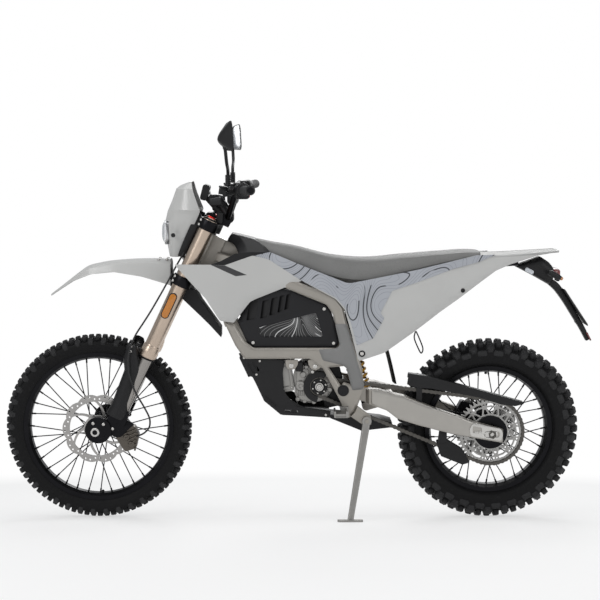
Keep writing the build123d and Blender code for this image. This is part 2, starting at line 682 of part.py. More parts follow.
SUBFRAME_R = 10.0         # seat rail
BRACE_R = 9.0
with BuildPart() as rear_subframe:
    loop_y = -FRAME_IN + SUBFRAME_R + 0.5
    brace_y = -FRAME_IN + BRACE_R + 0.5
    add(
        tube_run(
            [(893, loop_y, 827), (1150, loop_y + 5, 902), (1400, loop_y + 17, 958), (1560, -44, 968)],
            SUBFRAME_R, [200, 200],
        ),
    )
    add(tube_run([(928, brace_y, 730), (1180, brace_y + 4, 856), (1330, brace_y + 12, 926)], BRACE_R, [200]))
    mirror(about=Plane.XZ)
    with BuildSketch(side(50)):
        with Locations((1545, 966)):
            Circle(9)
    extrude(amount=100)
    with BuildSketch(side(90)):
        with Locations((1055, 794)):
            Circle(7)
    extrude(amount=180)

with BuildPart() as frame_guards:
    with BuildSketch(side(-frame_out - GAP)):
        Polygon(
            (838, 641), (898, 742), (930, 742), (972, 592), (986, 510), (952, 494), (940, 560), (900, 640),
            (884, 668), align=None,
        )
    extrude(amount=3)
    mirror(about=Plane.XZ)

BATTERY_LOW = 656.0 + GAP
with BuildPart() as battery_pack:
    with BuildSketch(side(BATTERY_HALF)):
        Polygon(
            (566, BATTERY_LOW), (880, BATTERY_LOW), (874, 740), (842, 806), (720, 858), (600, 850),
            (530, 760), align=None,
        )
        fillet(vertices(), 8)
    extrude(amount=2 * BATTERY_HALF)

with BuildPart() as battery_covers:
    cover = [
        (524, 760), (574, 835), (640, 890), (726, 868), (848, 818), (870, 787), (883, 745), (897, 684),
        (888, 663), (586, 663), (556, 688),
    ]
    with BuildSketch(side(-BATTERY_HALF - GAP)):
        Polygon(*cover, align=None)
        fillet(vertices(), 4)
    extrude(amount=frame_out - BATTERY_HALF - 4)
    with BuildSketch(side(-frame_out + 4)):
        for step in range(5):
            with Locations((632 + 26 * step, 800 + 4 * step)):
                SlotOverall(46, 9, rotation=56)
    extrude(amount=-5, mode=Mode.SUBTRACT)
    with BuildSketch(side(-frame_out + 4)):
        Polygon((602, 722), (824, 778), (846, 684), (624, 682), align=None)
        fillet(vertices(), 6)
    extrude(amount=-3, mode=Mode.SUBTRACT)
    mirror(about=Plane.XZ)

# ---------------------------------------------------------------- drive unit and what guards it
MOTOR_X, MOTOR_Z = 806.0, 522.0
with BuildPart() as drive_motor:
    with BuildSketch(facing_left(MOTOR_X, 88, MOTOR_Z)):
        Circle(74)
    extrude(amount=150)
    for step in range(7):
        with BuildSketch(facing_left(MOTOR_X, 74 - 14 * step, MOTOR_Z)):
            Circle(80)
            Circle(70, mode=Mode.SUBTRACT)
            with Locations((0, 60)):
                Rectangle(200, 40, mode=Mode.INTERSECT)
        extrude(amount=5)
    with BuildSketch(side(-62)):
        Polygon(
            (728, 560), (800, 588), (832, 560), (866, 520), (850, 470), (800, 446), (742, 460), align=None,
        )
        fillet(vertices(), 14)
    extrude(amount=8)
    with BuildSketch(facing_left(DRIVE_X, -66, DRIVE_Z)):
        Circle(13)
    extrude(amount=30)
    add(sprocket(DRIVE_X, DRIVE_Z, DRIVE_TEETH, 0, SPROCKET_WALL))

CONTROL_X, CONTROL_Z = 684.6, 548.0
with BuildPart() as motor_controller:
    with BuildSketch(side(80)):
        with Locations(Location((CONTROL_X, CONTROL_Z), 8)):
            RectangleRounded(84, 118, 6)
    extrude(amount=160)
    for step in range(8):
        with BuildSketch(side(80)):
            with Locations(Location((CONTROL_X, CONTROL_Z), 8)):
                with Locations((-47, -42 + 12 * step)):
                    Rectangle(20, 4)
        extrude(amount=160)

skid_low = [(531, 620.7), (564, 549), (578, 554), (622, 460), (683, 409), (868, 397)]
skid_high = [(868, 424), (763, 437), (729, 460), (686, 470), (640, 520), (600, 560), (590, 620.7)]
SKID_HALF = FRAME_IN + 6.0
with BuildPart() as skid_plate:
    with BuildSketch(side(SKID_HALF)):
        Polygon(*skid_low, *skid_high, align=None)
    extrude(amount=2 * SKID_HALF)
    with BuildSketch(side(SKID_HALF - 4)):
        Polygon(
            (537, 640), (567, 555), (582, 558), (626, 464), (685, 414), (868, 402), (900, 402), (900, 640), align=None,
        )
    extrude(amount=2 * SKID_HALF - 8, mode=Mode.SUBTRACT)
    for x, z, turn in ((640, 486, -46), (668, 458, -46), (706, 428, -6), (760, 420, -4)):
        with BuildSketch(side(SKID_HALF + 1)):
            with Locations(Location((x, z), turn)):
                SlotOverall(34, 9)
        extrude(amount=2 * SKID_HALF + 2, mode=Mode.SUBTRACT)
    with BuildSketch(side(56)):
        Polygon(
            (868 + GAP, 386), (986, 338), (1097, 351), (1100, 368), (1060, 380), (868 + GAP, 400),
            align=None,
        )
    extrude(amount=112)

# ---------------------------------------------------------------- swingarm, chain and rear axle
ARM_IN = 70.0
ARM_OUT = 98.0
ARM_SOFT = 5.0            # outer edges of the arms
arm_top = [(0.386, 40.3), (0.56, 32.8), (0.76, 28.6), (0.862, 24.3)]
arm_foot = [(0.899, -33.0), (0.761, -42.3), (0.534, -46.8), (0.391, -47.4)]
with BuildPart() as swingarm:
    with BuildSketch(side(140)):
        Polygon(
            (893, 521), (995, 505), (1044, 503), (1086, 491), *[along_arm(*place) for place in arm_top],
            (rear_x + 41, rear_z + 16), (rear_x + 41, rear_z - 34), *[along_arm(*place) for place in arm_foot],
            (1075, 426), (988, 458), (893, 489), align=None,
        )
    extrude(amount=280)
    with BuildSketch(Plane.XY.offset(200)):
        for hand in (-1, 1):
            Polygon(
                (880, hand * ARM_IN), (rear_x - 284, hand * ARM_IN), (rear_x - 224, hand * ARM_OUT),
                (rear_x + 56, hand * ARM_OUT), (rear_x + 56, hand * (ARM_OUT + 30)),
                (rear_x - 224, hand * (ARM_OUT + 30)), (1110, hand * 112), (1010, hand * 112),
                (998, hand * (FRAME_IN - 1)), (880, hand * (FRAME_IN - 1)), align=None,
            )
    extrude(amount=500, mode=Mode.INTERSECT)
    fillet(swingarm.edges().group_by(Axis.Y)[0] + swingarm.edges().group_by(Axis.Y)[-1], ARM_SOFT)
    with BuildSketch(side(ARM_IN + 1)):
        with Locations((1085, 450)):
            RectangleRounded(52, 56, 14)
        with Locations((PIVOT_X, PIVOT_Z)):
            Circle(24)
    extrude(amount=2 * ARM_IN + 2)
    for y in (SHOCK_EAR, -SHOCK_HALF - GAP):
        with BuildSketch(side(y)):
            with Locations((SHOCK_FOOT.X, SHOCK_FOOT.Z)):
                Circle(16)
            Polygon(
                (SHOCK_FOOT.X, SHOCK_FOOT.Z + 16), (SHOCK_FOOT.X, SHOCK_FOOT.Z - 16), (1070, 428), (1070, 470), align=None,
            )
        extrude(amount=SHOCK_EAR - SHOCK_HALF - GAP)
    with BuildSketch(side(SHOCK_EAR)):
        with Locations((SHOCK_FOOT.X, SHOCK_FOOT.Z)):
            Circle(SHOCK_PIN)
    extrude(amount=2 * SHOCK_EAR)
    with BuildSketch(facing_left(PIVOT_X, frame_out, PIVOT_Z)):
        Circle(PIVOT_R + GAP)
    extrude(amount=2 * frame_out, mode=Mode.SUBTRACT)
    with BuildSketch(facing_left(rear_x, ARM_OUT + 36, rear_z)):
        Circle(REAR_AXLE_R)
    extrude(amount=2 * ARM_OUT + 72)
    with BuildSketch(facing_left(rear_x, ARM_OUT + 36, rear_z)):
        Circle(AXLE_BORE)
    extrude(amount=2 * ARM_OUT + 72, mode=Mode.SUBTRACT)

LINK_HALF = 8.0           # half the chain's width and height


def chain_loop(out):
    """Outline round both sprockets, `out` beyond their pitch circles."""
    with BuildSketch() as loop:
        with Locations((DRIVE_X, DRIVE_Z)):
            Circle(drive_pitch_r + out)
        with Locations((rear_x, rear_z)):
            Circle(rear_pitch_r + out)
        make_hull()
    return loop.sketch


with BuildPart() as drive_chain:
    with BuildSketch(side(CHAIN_Y + LINK_HALF)):
        add(chain_loop(LINK_HALF))
        add(chain_loop(-LINK_HALF), mode=Mode.SUBTRACT)
    extrude(amount=2 * LINK_HALF)
    with BuildSketch(side(CHAIN_Y + SPROCKET_WALL / 2 + 0.6)):
        add(chain_loop(tooth_tip + 0.6))
    extrude(amount=SPROCKET_WALL + 1.2, mode=Mode.SUBTRACT)

# Outlines as (share of the way to the axle, height above the swingarm's line).
guard_outline = [
    (0.376, 125.3), (0.506, 136.2), (1.163, 143.9), (1.097, 121.0), (1.007, 111.9), (0.861, 113.8), (0.544, 94.8),
    (0.442, 81.4), (0.386, 84.3),
]
guard_inside = [(0.292, 92.0), (0.524, 133.1), (1.107, 129.1), (1.13, 85.0), (0.597, -6.8), (0.324, 29.7)]
guide_outline = [
    (0.681, -90.5), (0.741, -73.9), (0.859, -91.1), (0.93, -131.0), (0.888, -146.7), (0.738, -139.0),
]
with BuildPart() as chain_guards:
    with BuildSketch(side(CHAIN_Y + 14)):
        Polygon(*[along_arm(*place) for place in guard_outline], align=None)
        fillet(vertices(), 4)
    extrude(amount=36)
    with BuildSketch(side(CHAIN_Y + 17)):
        Polygon(*[along_arm(*place) for place in guard_inside], align=None)
    extrude(amount=36, mode=Mode.SUBTRACT)
    with BuildSketch(side(CHAIN_Y - 11)):
        Polygon(
            along_arm(0.476, 36.8), along_arm(0.513, 35.2), along_arm(0.485, 90.8), along_arm(0.45, 86.9),
            align=None,
        )
    extrude(amount=8)
    with BuildSketch(side(CHAIN_Y + 16)):
        Polygon(*[along_arm(*place) for place in guide_outline], align=None)
        fillet(vertices(), 5)
    extrude(amount=32)
    with BuildSketch(side(CHAIN_Y + 9.5)):
        add(chain_loop(LINK_HALF + 1.5))
    extrude(amount=19, mode=Mode.SUBTRACT)
    with BuildSketch(side(CHAIN_Y - 12)):
        Polygon(
            along_arm(0.69, -95.1), along_arm(0.744, -79.6), along_arm(0.725, -43.7),
            along_arm(0.675, -44.5), align=None,
        )
    extrude(amount=11)

SHOCK_WIRE = 5.5
SHOCK_COIL_R = 32.0


def shock_level(along):
    """Plane square to the shock, measured down from its top eye."""
    run = (SHOCK_FOOT - SHOCK_TOP).normalized()
    return Plane(origin=SHOCK_TOP + run * along, x_dir=(0, 1, 0), z_dir=run)


spring_top = 120.0
spring_end = 318.0
shock_length = (SHOCK_FOOT - SHOCK_TOP).length
with BuildPart() as rear_shock:
    for along, radius, length in (
        (18, 24, spring_top - 26), (spring_top - 8, 38, 8), (spring_top, 22, 120),
        (spring_top + 120, 11, spring_end - spring_top - 120),
        (spring_end, 38, 8), (spring_end + 8, 15, shock_length - spring_end - 20),
    ):
        with BuildSketch(shock_level(along)):
            Circle(radius)
        extrude(amount=length)
    with BuildSketch(side(SHOCK_HALF)):
        with Locations((SHOCK_TOP.X, SHOCK_TOP.Z), (SHOCK_FOOT.X, SHOCK_FOOT.Z)):
            Circle(15)
    extrude(amount=2 * SHOCK_HALF)
    with BuildSketch(side(SHOCK_HALF)):
        with Locations((SHOCK_TOP.X, SHOCK_TOP.Z), (SHOCK_FOOT.X, SHOCK_FOOT.Z)):
            Circle(SHOCK_PIN + GAP)
    extrude(amount=2 * SHOCK_HALF, mode=Mode.SUBTRACT)

coil_height = spring_end - spring_top - 2 * GAP - 2 * SHOCK_WIRE
with BuildPart() as shock_spring:
    start = shock_level(spring_top + GAP + SHOCK_WIRE)
    with BuildLine() as coil:
        Helix(
            pitch=coil_height / 9, height=coil_height, radius=SHOCK_COIL_R, center=start.origin,
            direction=start.z_dir,
        )
    with BuildSketch(Plane(origin=coil.line @ 0, z_dir=coil.line % 0)):
        Circle(SHOCK_WIRE)
    sweep(path=coil.line, is_frenet=True)

# ---------------------------------------------------------------- bodywork
shroud_levels = [
    (735, [(285, 33), (400, 32), (500, 23), (600, 11), (775, 4.5)]),
    (900, [(285, 42), (400, 42), (500, 32), (600, 18), (775, 3.8)]),
    (1030, [(285, 34), (400, 33), (500, 19), (600, -2), (775, -12)]),
]
shroud_outline = [
    (299, 971), (428, 970), (463, 981), (517, 1008), (560, 1013), (643, 1013), (752, 968), (760, 909), (598, 846),
    (572, 834), (512, 756), (463, 764), (411, 848), (367, 895),
]
accent_outline = [
    (428, 969.5), (520, 927), (562, 931), (483, 967), (581, 1000), (640, 1012.5), (560, 1012.5), (517, 1007.5), (463, 980.5),
]
with BuildPart() as side_shrouds:
    add(skin(shroud_levels, PANEL))
    with BuildSketch(side(-90)):
        Polygon(*shroud_outline, align=None)
        Polygon(*accent_outline, align=None, mode=Mode.SUBTRACT)
    extrude(amount=120, mode=Mode.INTERSECT)
    mirror(about=Plane.XZ)


def tank_cap():
    """Centre cover ahead of the seat: its side, front and plan outlines crossed."""
    with BuildPart() as cap:
        add(crossed(
            [(502, 1016), (486, 1045), (503, 1076), (593.2, 1055), (643.2, 1015), (644, 994), (560, 994)],
            [(-104, 985), (-104, 1004), (-58, 1078), (58, 1078), (104, 1004), (104, 985)], 0, 0,
        ))
        with BuildSketch(Plane.XY.offset(950)):
            Polygon(
                (470, -46), (522, -52), (570, -106), (660, -110), (660, 110), (570, 106), (522, 52), (470, 46),
                align=None,
            )
        extrude(amount=200, mode=Mode.INTERSECT)
    return cap.part


with BuildPart() as tank_covers:
    add(skin(shroud_levels, PANEL))
    with BuildSketch(side(-90)):
        Polygon(*accent_outline, align=None)
        offset(amount=-GAP, kind=Kind.INTERSECTION)
    extrude(amount=120, mode=Mode.INTERSECT)
    mirror(about=Plane.XZ)
    add(tank_cap())

seat_sections = [
    (586, 985, 1058, 62, 40), (736, 955, 1028, 96, 62), (865, 905, 996, 116, 78), (980, 890, 985, 122, 92),
    (1142, 920, 996, 122, 102), (1290, 960, 1007, 114, 98), (1424, 985, 1012, 101, 86),
]
with BuildPart() as seat:
    for x, low, high, half_low, half_high in seat_sections:
        with BuildSketch(Plane.YZ.offset(x)):
            Polygon(
                (-half_low, low), (-half_low, low + 26), (-half_high, high - 9), (-half_high + 26, high),
                (half_high - 26, high), (half_high, high - 9), (half_low, low + 26), (half_low, low), align=None,
            )
    loft()
    with BuildSketch(side(200)):
        Polygon(
            (590, 1057), (597, 1070), (1410, 1040), (1421, 1001.5), (1400, 1001.5), (1174, 947.5), (939, 900.5), (922, 901.5),
            (754, 967), (644, 1015), (594, 1055), align=None,
        )
    extrude(amount=400, mode=Mode.INTERSECT)

rear_levels = [
    (600, [(740, 4), (900, 4), (1050, 6), (1300, -12), (1500, -38), (1725, -74)]),
    (850, [(740, 4), (900, 12), (1050, 17), (1300, 0), (1500, -25), (1725, -64)]),
    (1025, [(740, -5), (900, 3), (1050, 7), (1300, -10), (1500, -32), (1725, -68)]),
]
with BuildPart() as rear_deck:
    with BuildSketch(side(120)):
        Polygon((1425, 996.5), (1489, 996.5), (1712, 1011.5), (1712, 1015), (1489, 1000), (1425, 1000.5), align=None)
    extrude(amount=240)
    with BuildSketch(Plane.XY.offset(950)):
        for hand in (-1, 1):
            Polygon(
                (1400, 0), (1400, hand * (frame_out - 18)), (1425, hand * (frame_out - 21)),
                (1500, hand * (frame_out - 31.5)), (1620, hand * (frame_out - 49)), (1712, hand * (frame_out - 68)),
                (1712, 0), align=None,
            )
    extrude(amount=100, mode=Mode.INTERSECT)

with BuildPart() as rear_bodywork:
    add(skin(rear_levels, PANEL))
    with BuildSketch(side(-40)):
        Polygon(
            (762, 890), (756, 966), (922, 901), (939, 900), (1174, 947), (1400, 1001), (1489, 1000), (1712, 1015),
            (1712, 1010), (1631, 997), (1526, 965), (1473, 943), (1417, 902), (1339, 844), (1265, 792), (1173, 722),
            (1064, 644), (968, 611), (943, 712), (917, 804), (884, 842), align=None,
        )
    extrude(amount=120, mode=Mode.INTERSECT)
    mirror(about=Plane.XZ)
    add(rear_deck.part)

with BuildPart() as mud_flap:
    with BuildSketch(side(58)):
        Polygon((1052, 786.5), (1058, 786.5), (1084, 630), (1114, 516), (1108, 513), (1078, 629), align=None)
    extrude(amount=116)

with BuildPart() as plate_holder:
    with BuildSketch(side(46)):
        Polygon(
            (1554, 956), (1649, 988), (1680, 968), (1696, 950), (1696, 910), (1690, 886), (1679, 884), (1622, 921),
            align=None,
        )
    extrude(amount=92)
    with BuildSketch(side(16)):
        Polygon((1688, 906), (1733, 868), (1821, 735), (1846, 690), (1832, 664), (1813, 700), (1790, 742), (1771, 769),
                (1672, 896), align=None)
    extrude(amount=32)
    with BuildSketch(side(62)):
        Polygon((1729, 870), (1733, 872), (1826, 735), (1822, 732), align=None)
    extrude(amount=124)

with BuildPart() as rear_lights:
    with BuildSketch(side(44)):
        Polygon((1696 + GAP, 946), (1718, 942), (1722, 920), (1696 + GAP, 912), align=None)
    extrude(amount=88)
    for hand in (-1, 1):
        with BuildSketch(side(62 if hand > 0 else -46 - GAP)):
            with Locations((1680, 930)):
                Circle(5)
        extrude(amount=62 - 46 - GAP)
        with BuildSketch(side(112 if hand > 0 else -60)):
            with Locations(Location((1684, 928), -30)):
                SlotOverall(42, 24)
        extrude(amount=52)

# ---------------------------------------------------------------- foot controls, rear brake, hose
PEG_LENGTH = 73.0
peg_root = frame_out + 18
with BuildPart() as foot_controls:
    for hand in (-1, 1):
        with BuildSketch(side(peg_root + 4 if hand > 0 else -frame_out - GAP)):
            Polygon((905, 446), (932, 446), (934, 408), (903, 408), align=None)
        extrude(amount=peg_root + 4 - frame_out - GAP)
        with BuildSketch(side(peg_root + PEG_LENGTH if hand > 0 else -peg_root)):
            with Locations((902, 430)):
                RectangleRounded(50, 24, 4)
            with Locations((902, 436)):
                Rectangle(36, 30, mode=Mode.SUBTRACT)
        extrude(amount=PEG_LENGTH)
        with BuildSketch(side(peg_root + PEG_LENGTH - 3 if hand > 0 else -peg_root)):
            with Locations((902, 427)):
                Rectangle(40, 10)
        extrude(amount=PEG_LENGTH - 3)
    with BuildSketch(side(peg_root + 4)):
        Polygon(
            (932, 416), (934, 400), (780, 388), (742, 402), (742, 414), (780, 402), (910, 414), align=None,
        )
    extrude(amount=12)
    with BuildSketch(side(peg_root + 40)):
        with Locations((754, 412)):
            RectangleRounded(30, 10, 3)
    extrude(amount=46)

with BuildPart() as rear_brake_caliper:
    with BuildSketch(side(ARM_OUT - GAP)):
        Polygon(
            (rear_x - 128, rear_z + 26), (rear_x - 92, rear_z + 92), (rear_x - 44, rear_z + 78), (rear_x - 66, rear_z + 16),
            (rear_x - 34, rear_z - 12), (rear_x - 60, rear_z - 20), (rear_x - 124, rear_z - 8), align=None,
        )
        fillet(vertices(), 6)
    extrude(amount=44)
    with BuildSketch(side(REAR_DISC_Y + CALIPER_SLOT / 2)):
        with Locations((rear_x, rear_z)):
            Circle(REAR_DISC_R + 5)
    extrude(amount=CALIPER_SLOT, mode=Mode.SUBTRACT)

HOSE_R = 3.2
hose_route = [            # x, how far outside the fork leg's centre, z
    (330, -9, 1010), (306, 7, 968), (262, 27, 886), (204, 36, 786), (150, 42, 706), (126, 44, 640), (128, 44, 570),
    (150, 43, 502), (182, 40, 448), (204, 29, 400), (200, 7, 362), (176, -9, 336), (150, -19, 324),
]
hose_points = [(x, -FORK_SPREAD - out, z) for x, out, z in hose_route]


def arc_radii(points):
    """Largest arc that each corner's two runs leave room for."""
    radii = []
    for before, here, after in zip(points, points[1:], points[2:]):
        first = Vector(here) - Vector(before)
        second = Vector(after) - Vector(here)
        turn = math.radians(first.get_angle(second))
        radii.append(0.45 * min(first.length, second.length) / math.tan(turn / 2))
    return radii


with BuildPart() as brake_hose:
    add(tube_run(hose_points, HOSE_R, arc_radii(hose_points)))

# ---------------------------------------------------------------- side stand
with BuildPart() as side_stand:
    with BuildSketch(Plane(origin=STAND_PIVOT - hinge * STAND_EYE / 2, x_dir=down_flat, z_dir=hinge)):
        Circle(17)
    extrude(amount=STAND_EYE)
    with BuildSketch(Plane(origin=STAND_PIVOT + stand_down * 8, x_dir=hinge, z_dir=stand_down)):
        RectangleRounded(13, 28, 5)
    with BuildSketch(Plane(origin=stand_foot - stand_down * 26, x_dir=hinge, z_dir=stand_down)):
        RectangleRounded(12, 22, 5)
    loft()
    with BuildSketch(Plane(origin=stand_foot, x_dir=(1, 0, 0), z_dir=ground_up)):
        RectangleRounded(92, 46, 12)
    extrude(amount=7)
    with BuildSketch(Plane(origin=stand_foot - stand_down * 34, x_dir=hinge, z_dir=stand_down)):
        RectangleRounded(12, 22, 5)
    extrude(amount=30)
    with BuildSketch(Plane(origin=STAND_PIVOT - hinge * 10, x_dir=down_flat, z_dir=hinge)):
        Circle(STAND_PIN + GAP)
    extrude(amount=30, mode=Mode.SUBTRACT)
    with BuildSketch(Plane(origin=stand_foot - ground_up * 60, x_dir=(1, 0, 0), z_dir=ground_up)):
        Rectangle(300, 300)
    extrude(amount=60, mode=Mode.SUBTRACT)

# ---------------------------------------------------------------- written out
pieces = {
    "front_tyre": front_tyre,
    "front_rim": front_rim,
    "front_hub": front_hub,
    "front_brake_disc": front_brake_disc,
    "rear_tyre": rear_tyre,
    "rear_rim": rear_rim,
    "rear_hub": rear_hub,
    "rear_sprocket": rear_sprocket.part,
    "rear_brake_disc": rear_brake_disc,
    "fork_tubes": fork_tubes.part,
    "fork_legs": fork_legs.part,
    "triple_clamps": triple_clamps.part,
    "fork_guards": fork_guards.part,
    "front_brake_caliper": front_brake_caliper.part,
    "headlight_cowl": headlight_cowl.part,
    "headlight_lamp": headlight_lamp.part,
    "front_fender": front_fender.part,
    "fender_blade": fender_blade.part,
    "handlebar": handlebar.part,
    "grips": grips.part,
    "hand_controls": hand_controls.part,
    "mirrors": mirrors.part,
    "brake_hose": brake_hose.part,
    "main_frame": main_frame.part,
    "rear_subframe": rear_subframe.part,
    "frame_guards": frame_guards.part,
    "battery_pack": battery_pack.part,
    "battery_covers": battery_covers.part,
    "drive_motor": drive_motor.part,
    "motor_controller": motor_controller.part,
    "skid_plate": skid_plate.part,
    "swingarm": swingarm.part,
    "drive_chain": drive_chain.part,
    "chain_guards": chain_guards.part,
    "rear_shock": rear_shock.part,
    "shock_spring": shock_spring.part,
    "side_shrouds": side_shrouds.part,
    "tank_covers": tank_covers.part,
    "seat": seat.part,
    "rear_bodywork": rear_bodywork.part,
    "mud_flap": mud_flap.part,
    "plate_holder": plate_holder.part,
    "rear_lights": rear_lights.part,
    "foot_controls": foot_controls.part,
    "rear_brake_caliper": rear_brake_caliper.part,
    "side_stand": side_stand.part,
}
lean = Location((0, 0, 0), (LEAN, 0, 0))
box = Compound([piece.moved(lean) for piece in pieces.values()]).bounding_box()
park = Location((-box.center().X, -box.center().Y, -box.min.Z)) * lean
os.makedirs("parts", exist_ok=True)
for name, piece in pieces.items():
    parked = piece.moved(park)
    parked.label = name
    export_step(parked, f"parts/{name}.step")
    print(name, parked.is_valid, len(parked.solids()), "solids")
print("hose arcs", [round(radius) for radius in arc_radii(hose_points)])
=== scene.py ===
"""Electric off-road motorcycle: finishes, tread, chain, graphics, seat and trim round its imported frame.

The bike is described upright in millimetres: x runs rearward from the front axle, y to the rider's right and
z up from the ground. `parked` carries such points to the leaning place that the joints give, in metres.
"""

import json
import math
import bmesh
import bpy
import numpy as np
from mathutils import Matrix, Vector
from mathutils.geometry import delaunay_2d_cdt


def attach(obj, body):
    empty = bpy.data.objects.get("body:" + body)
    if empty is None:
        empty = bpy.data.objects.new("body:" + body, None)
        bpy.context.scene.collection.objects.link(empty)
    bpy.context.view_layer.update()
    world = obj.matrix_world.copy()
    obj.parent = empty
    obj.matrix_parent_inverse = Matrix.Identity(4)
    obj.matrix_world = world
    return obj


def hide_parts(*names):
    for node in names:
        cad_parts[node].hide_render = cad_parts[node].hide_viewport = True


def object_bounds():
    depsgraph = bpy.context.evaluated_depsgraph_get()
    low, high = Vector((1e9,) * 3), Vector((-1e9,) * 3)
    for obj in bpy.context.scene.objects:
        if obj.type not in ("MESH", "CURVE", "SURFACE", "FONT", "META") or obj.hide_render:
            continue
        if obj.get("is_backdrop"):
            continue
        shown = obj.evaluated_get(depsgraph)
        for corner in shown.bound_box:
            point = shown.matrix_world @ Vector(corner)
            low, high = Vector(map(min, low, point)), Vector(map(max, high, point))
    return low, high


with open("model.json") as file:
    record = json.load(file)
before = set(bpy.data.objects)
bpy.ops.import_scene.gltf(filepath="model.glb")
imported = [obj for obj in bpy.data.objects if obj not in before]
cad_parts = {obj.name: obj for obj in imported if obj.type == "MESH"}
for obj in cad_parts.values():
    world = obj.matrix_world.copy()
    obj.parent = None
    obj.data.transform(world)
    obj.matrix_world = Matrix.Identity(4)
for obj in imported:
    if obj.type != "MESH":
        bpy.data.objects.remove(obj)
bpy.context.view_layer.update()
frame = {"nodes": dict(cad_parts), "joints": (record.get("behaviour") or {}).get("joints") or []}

# ---------------------------------------------------------------- the bike's own axes
MM = 0.001
joints = {joint["name"]: joint for joint in frame["joints"]}
RIGHT = -np.array(joints["rear_wheel_spin"]["axis"])
REARWARD = np.array([1.0, 0.0, 0.0])
UP = np.cross(REARWARD, RIGHT)
FRONT_R = 348.0
REAR_R = 340.0
front_axle_m = np.array(joints["front_wheel_spin"]["pos_m"])
rear_axle_m = np.array(joints["rear_wheel_spin"]["pos_m"])
GROUND = front_axle_m - UP * FRONT_R * MM
WHEELBASE = float((rear_axle_m - front_axle_m) @ REARWARD) / MM
FRONT_AXLE = np.array([0.0, 0.0, FRONT_R])
REAR_AXLE = np.array([WHEELBASE, 0.0, REAR_R])
steer_m = np.array(joints["steering"]["pos_m"]) - GROUND
HEAD = np.array([steer_m @ REARWARD, 0.0, steer_m @ UP]) / MM
steer_axis = np.array(joints["steering"]["axis"])
FORK_UP = np.array([steer_axis @ REARWARD, 0.0, steer_axis @ UP])
FORK_BACK = np.array([FORK_UP[2], 0.0, -FORK_UP[0]])
ACROSS = np.array([0.0, 1.0, 0.0])


def parked(points):
    """Bike millimetres to the frame's metres: the ground point plus x rearward, y right and z up."""
    points = np.asarray(points, float)
    return GROUND + (points * MM) @ np.array([REARWARD, RIGHT, UP])


def on_fork(back, along, y=0.0):
    """Bike point `back` behind the steering axis, `along` it up from the lower clamp and `y` to the right."""
    return HEAD + FORK_BACK * back + FORK_UP * along + ACROSS * y


# ---------------------------------------------------------------- shapes: (points, [arrays of faces])

def join(*shapes):
    """One shape of several: each one's faces are counted on from the points before it."""
    points, faces, count = [], [], 0
    for own, blocks in shapes:
        points.append(own)
        faces += [block + count for block in blocks]
        count += len(own)
    return np.concatenate(points), faces


def grid(points, rows_meet=False, columns_meet=False):
    """Quads between the neighbours of a rows x columns x 3 array; either way round may meet its start."""
    rows, columns = points.shape[:2]
    index = np.arange(rows * columns).reshape(rows, columns)
    if rows_meet:
        index = np.vstack([index, index[:1]])
    if columns_meet:
        index = np.hstack([index, index[:, :1]])
    quads = np.stack([index[:-1, :-1], index[1:, :-1], index[1:, 1:], index[:-1, 1:]], -1)
    return points.reshape(-1, 3), [quads.reshape(-1, 4)]


def capped(rings):
    """Closed tube through rings of points, each end closed by one flat face."""
    points, faces = grid(rings, columns_meet=True)
    around = rings.shape[1]
    last = len(points) - around
    faces.append(np.arange(around)[None, :])
    faces.append(np.arange(last, last + around)[::-1][None, :])
    return points, faces


def mirrored(shape):
    """The same shape on the other side: y changes sign and each face turns over."""
    points, faces = shape
    return points * [1, -1, 1], [block[:, ::-1] for block in faces]


def both(shape):
    return join(shape, mirrored(shape))


def copies(shape, origins, axes):
    """The shape repeated at each origin, its x, y and z laid along the three rows of each axes matrix."""
    points, faces = shape
    placed = np.einsum("pi,kij->kpj", points, axes) + origins[:, None, :]
    shift = np.arange(len(origins))[:, None, None] * len(points)
    return placed.reshape(-1, 3), [(block[None] + shift).reshape(-1, block.shape[1]) for block in faces]


def through(knots, values):
    """Cubic through the knots whose slope at each is taken from its neighbours on either side."""
    knots, values = np.asarray(knots, float), np.asarray(values, float)
    slopes = np.gradient(values, knots, axis=0)

    def at(x):
        i = np.clip(np.searchsorted(knots, x) - 1, 0, len(knots) - 2)
        span = knots[i + 1] - knots[i]
        t = np.clip((x - knots[i]) / span, 0, 1)
        if values.ndim > 1:
            span, t = span[..., None], t[..., None]
        rise = 3 * t**2 - 2 * t**3
        return (
            values[i] * (1 - rise) + values[i + 1] * rise
            + span * (slopes[i] * (t - 2 * t**2 + t**3) + slopes[i + 1] * (t**3 - t**2))
        )

    return at


def line(points, count):
    """`count` points evenly along the smooth curve through the given ones."""
    points = np.asarray(points, float)
    steps = np.linalg.norm(np.diff(points, axis=0), axis=1)
    along = np.concatenate([[0], np.cumsum(steps)])
    return through(along, points)(np.linspace(0, along[-1], count))


def circle(radius, count=16):
    """Points (u, v) round a circle."""
    angle = np.linspace(0, 2 * math.pi, count, endpoint=False)
    return radius * np.stack([np.cos(angle), np.sin(angle)], -1)


def rounded(width, height, corner, count=6):
    """Points (u, v) round a rectangle whose corners are quarter circles."""
    quarter = np.linspace(0, math.pi / 2, count)
    points = []
    for turn, (u, v) in enumerate(((1, 1), (-1, 1), (-1, -1), (1, -1))):
        angle = quarter + turn * math.pi / 2
        middle = [u * (width / 2 - corner), v * (height / 2 - corner)]
        points.append(middle + corner * np.stack([np.cos(angle), np.sin(angle)], -1))
    return np.concatenate(points)


def unit(vectors):
    return vectors / np.linalg.norm(vectors, axis=-1, keepdims=True)


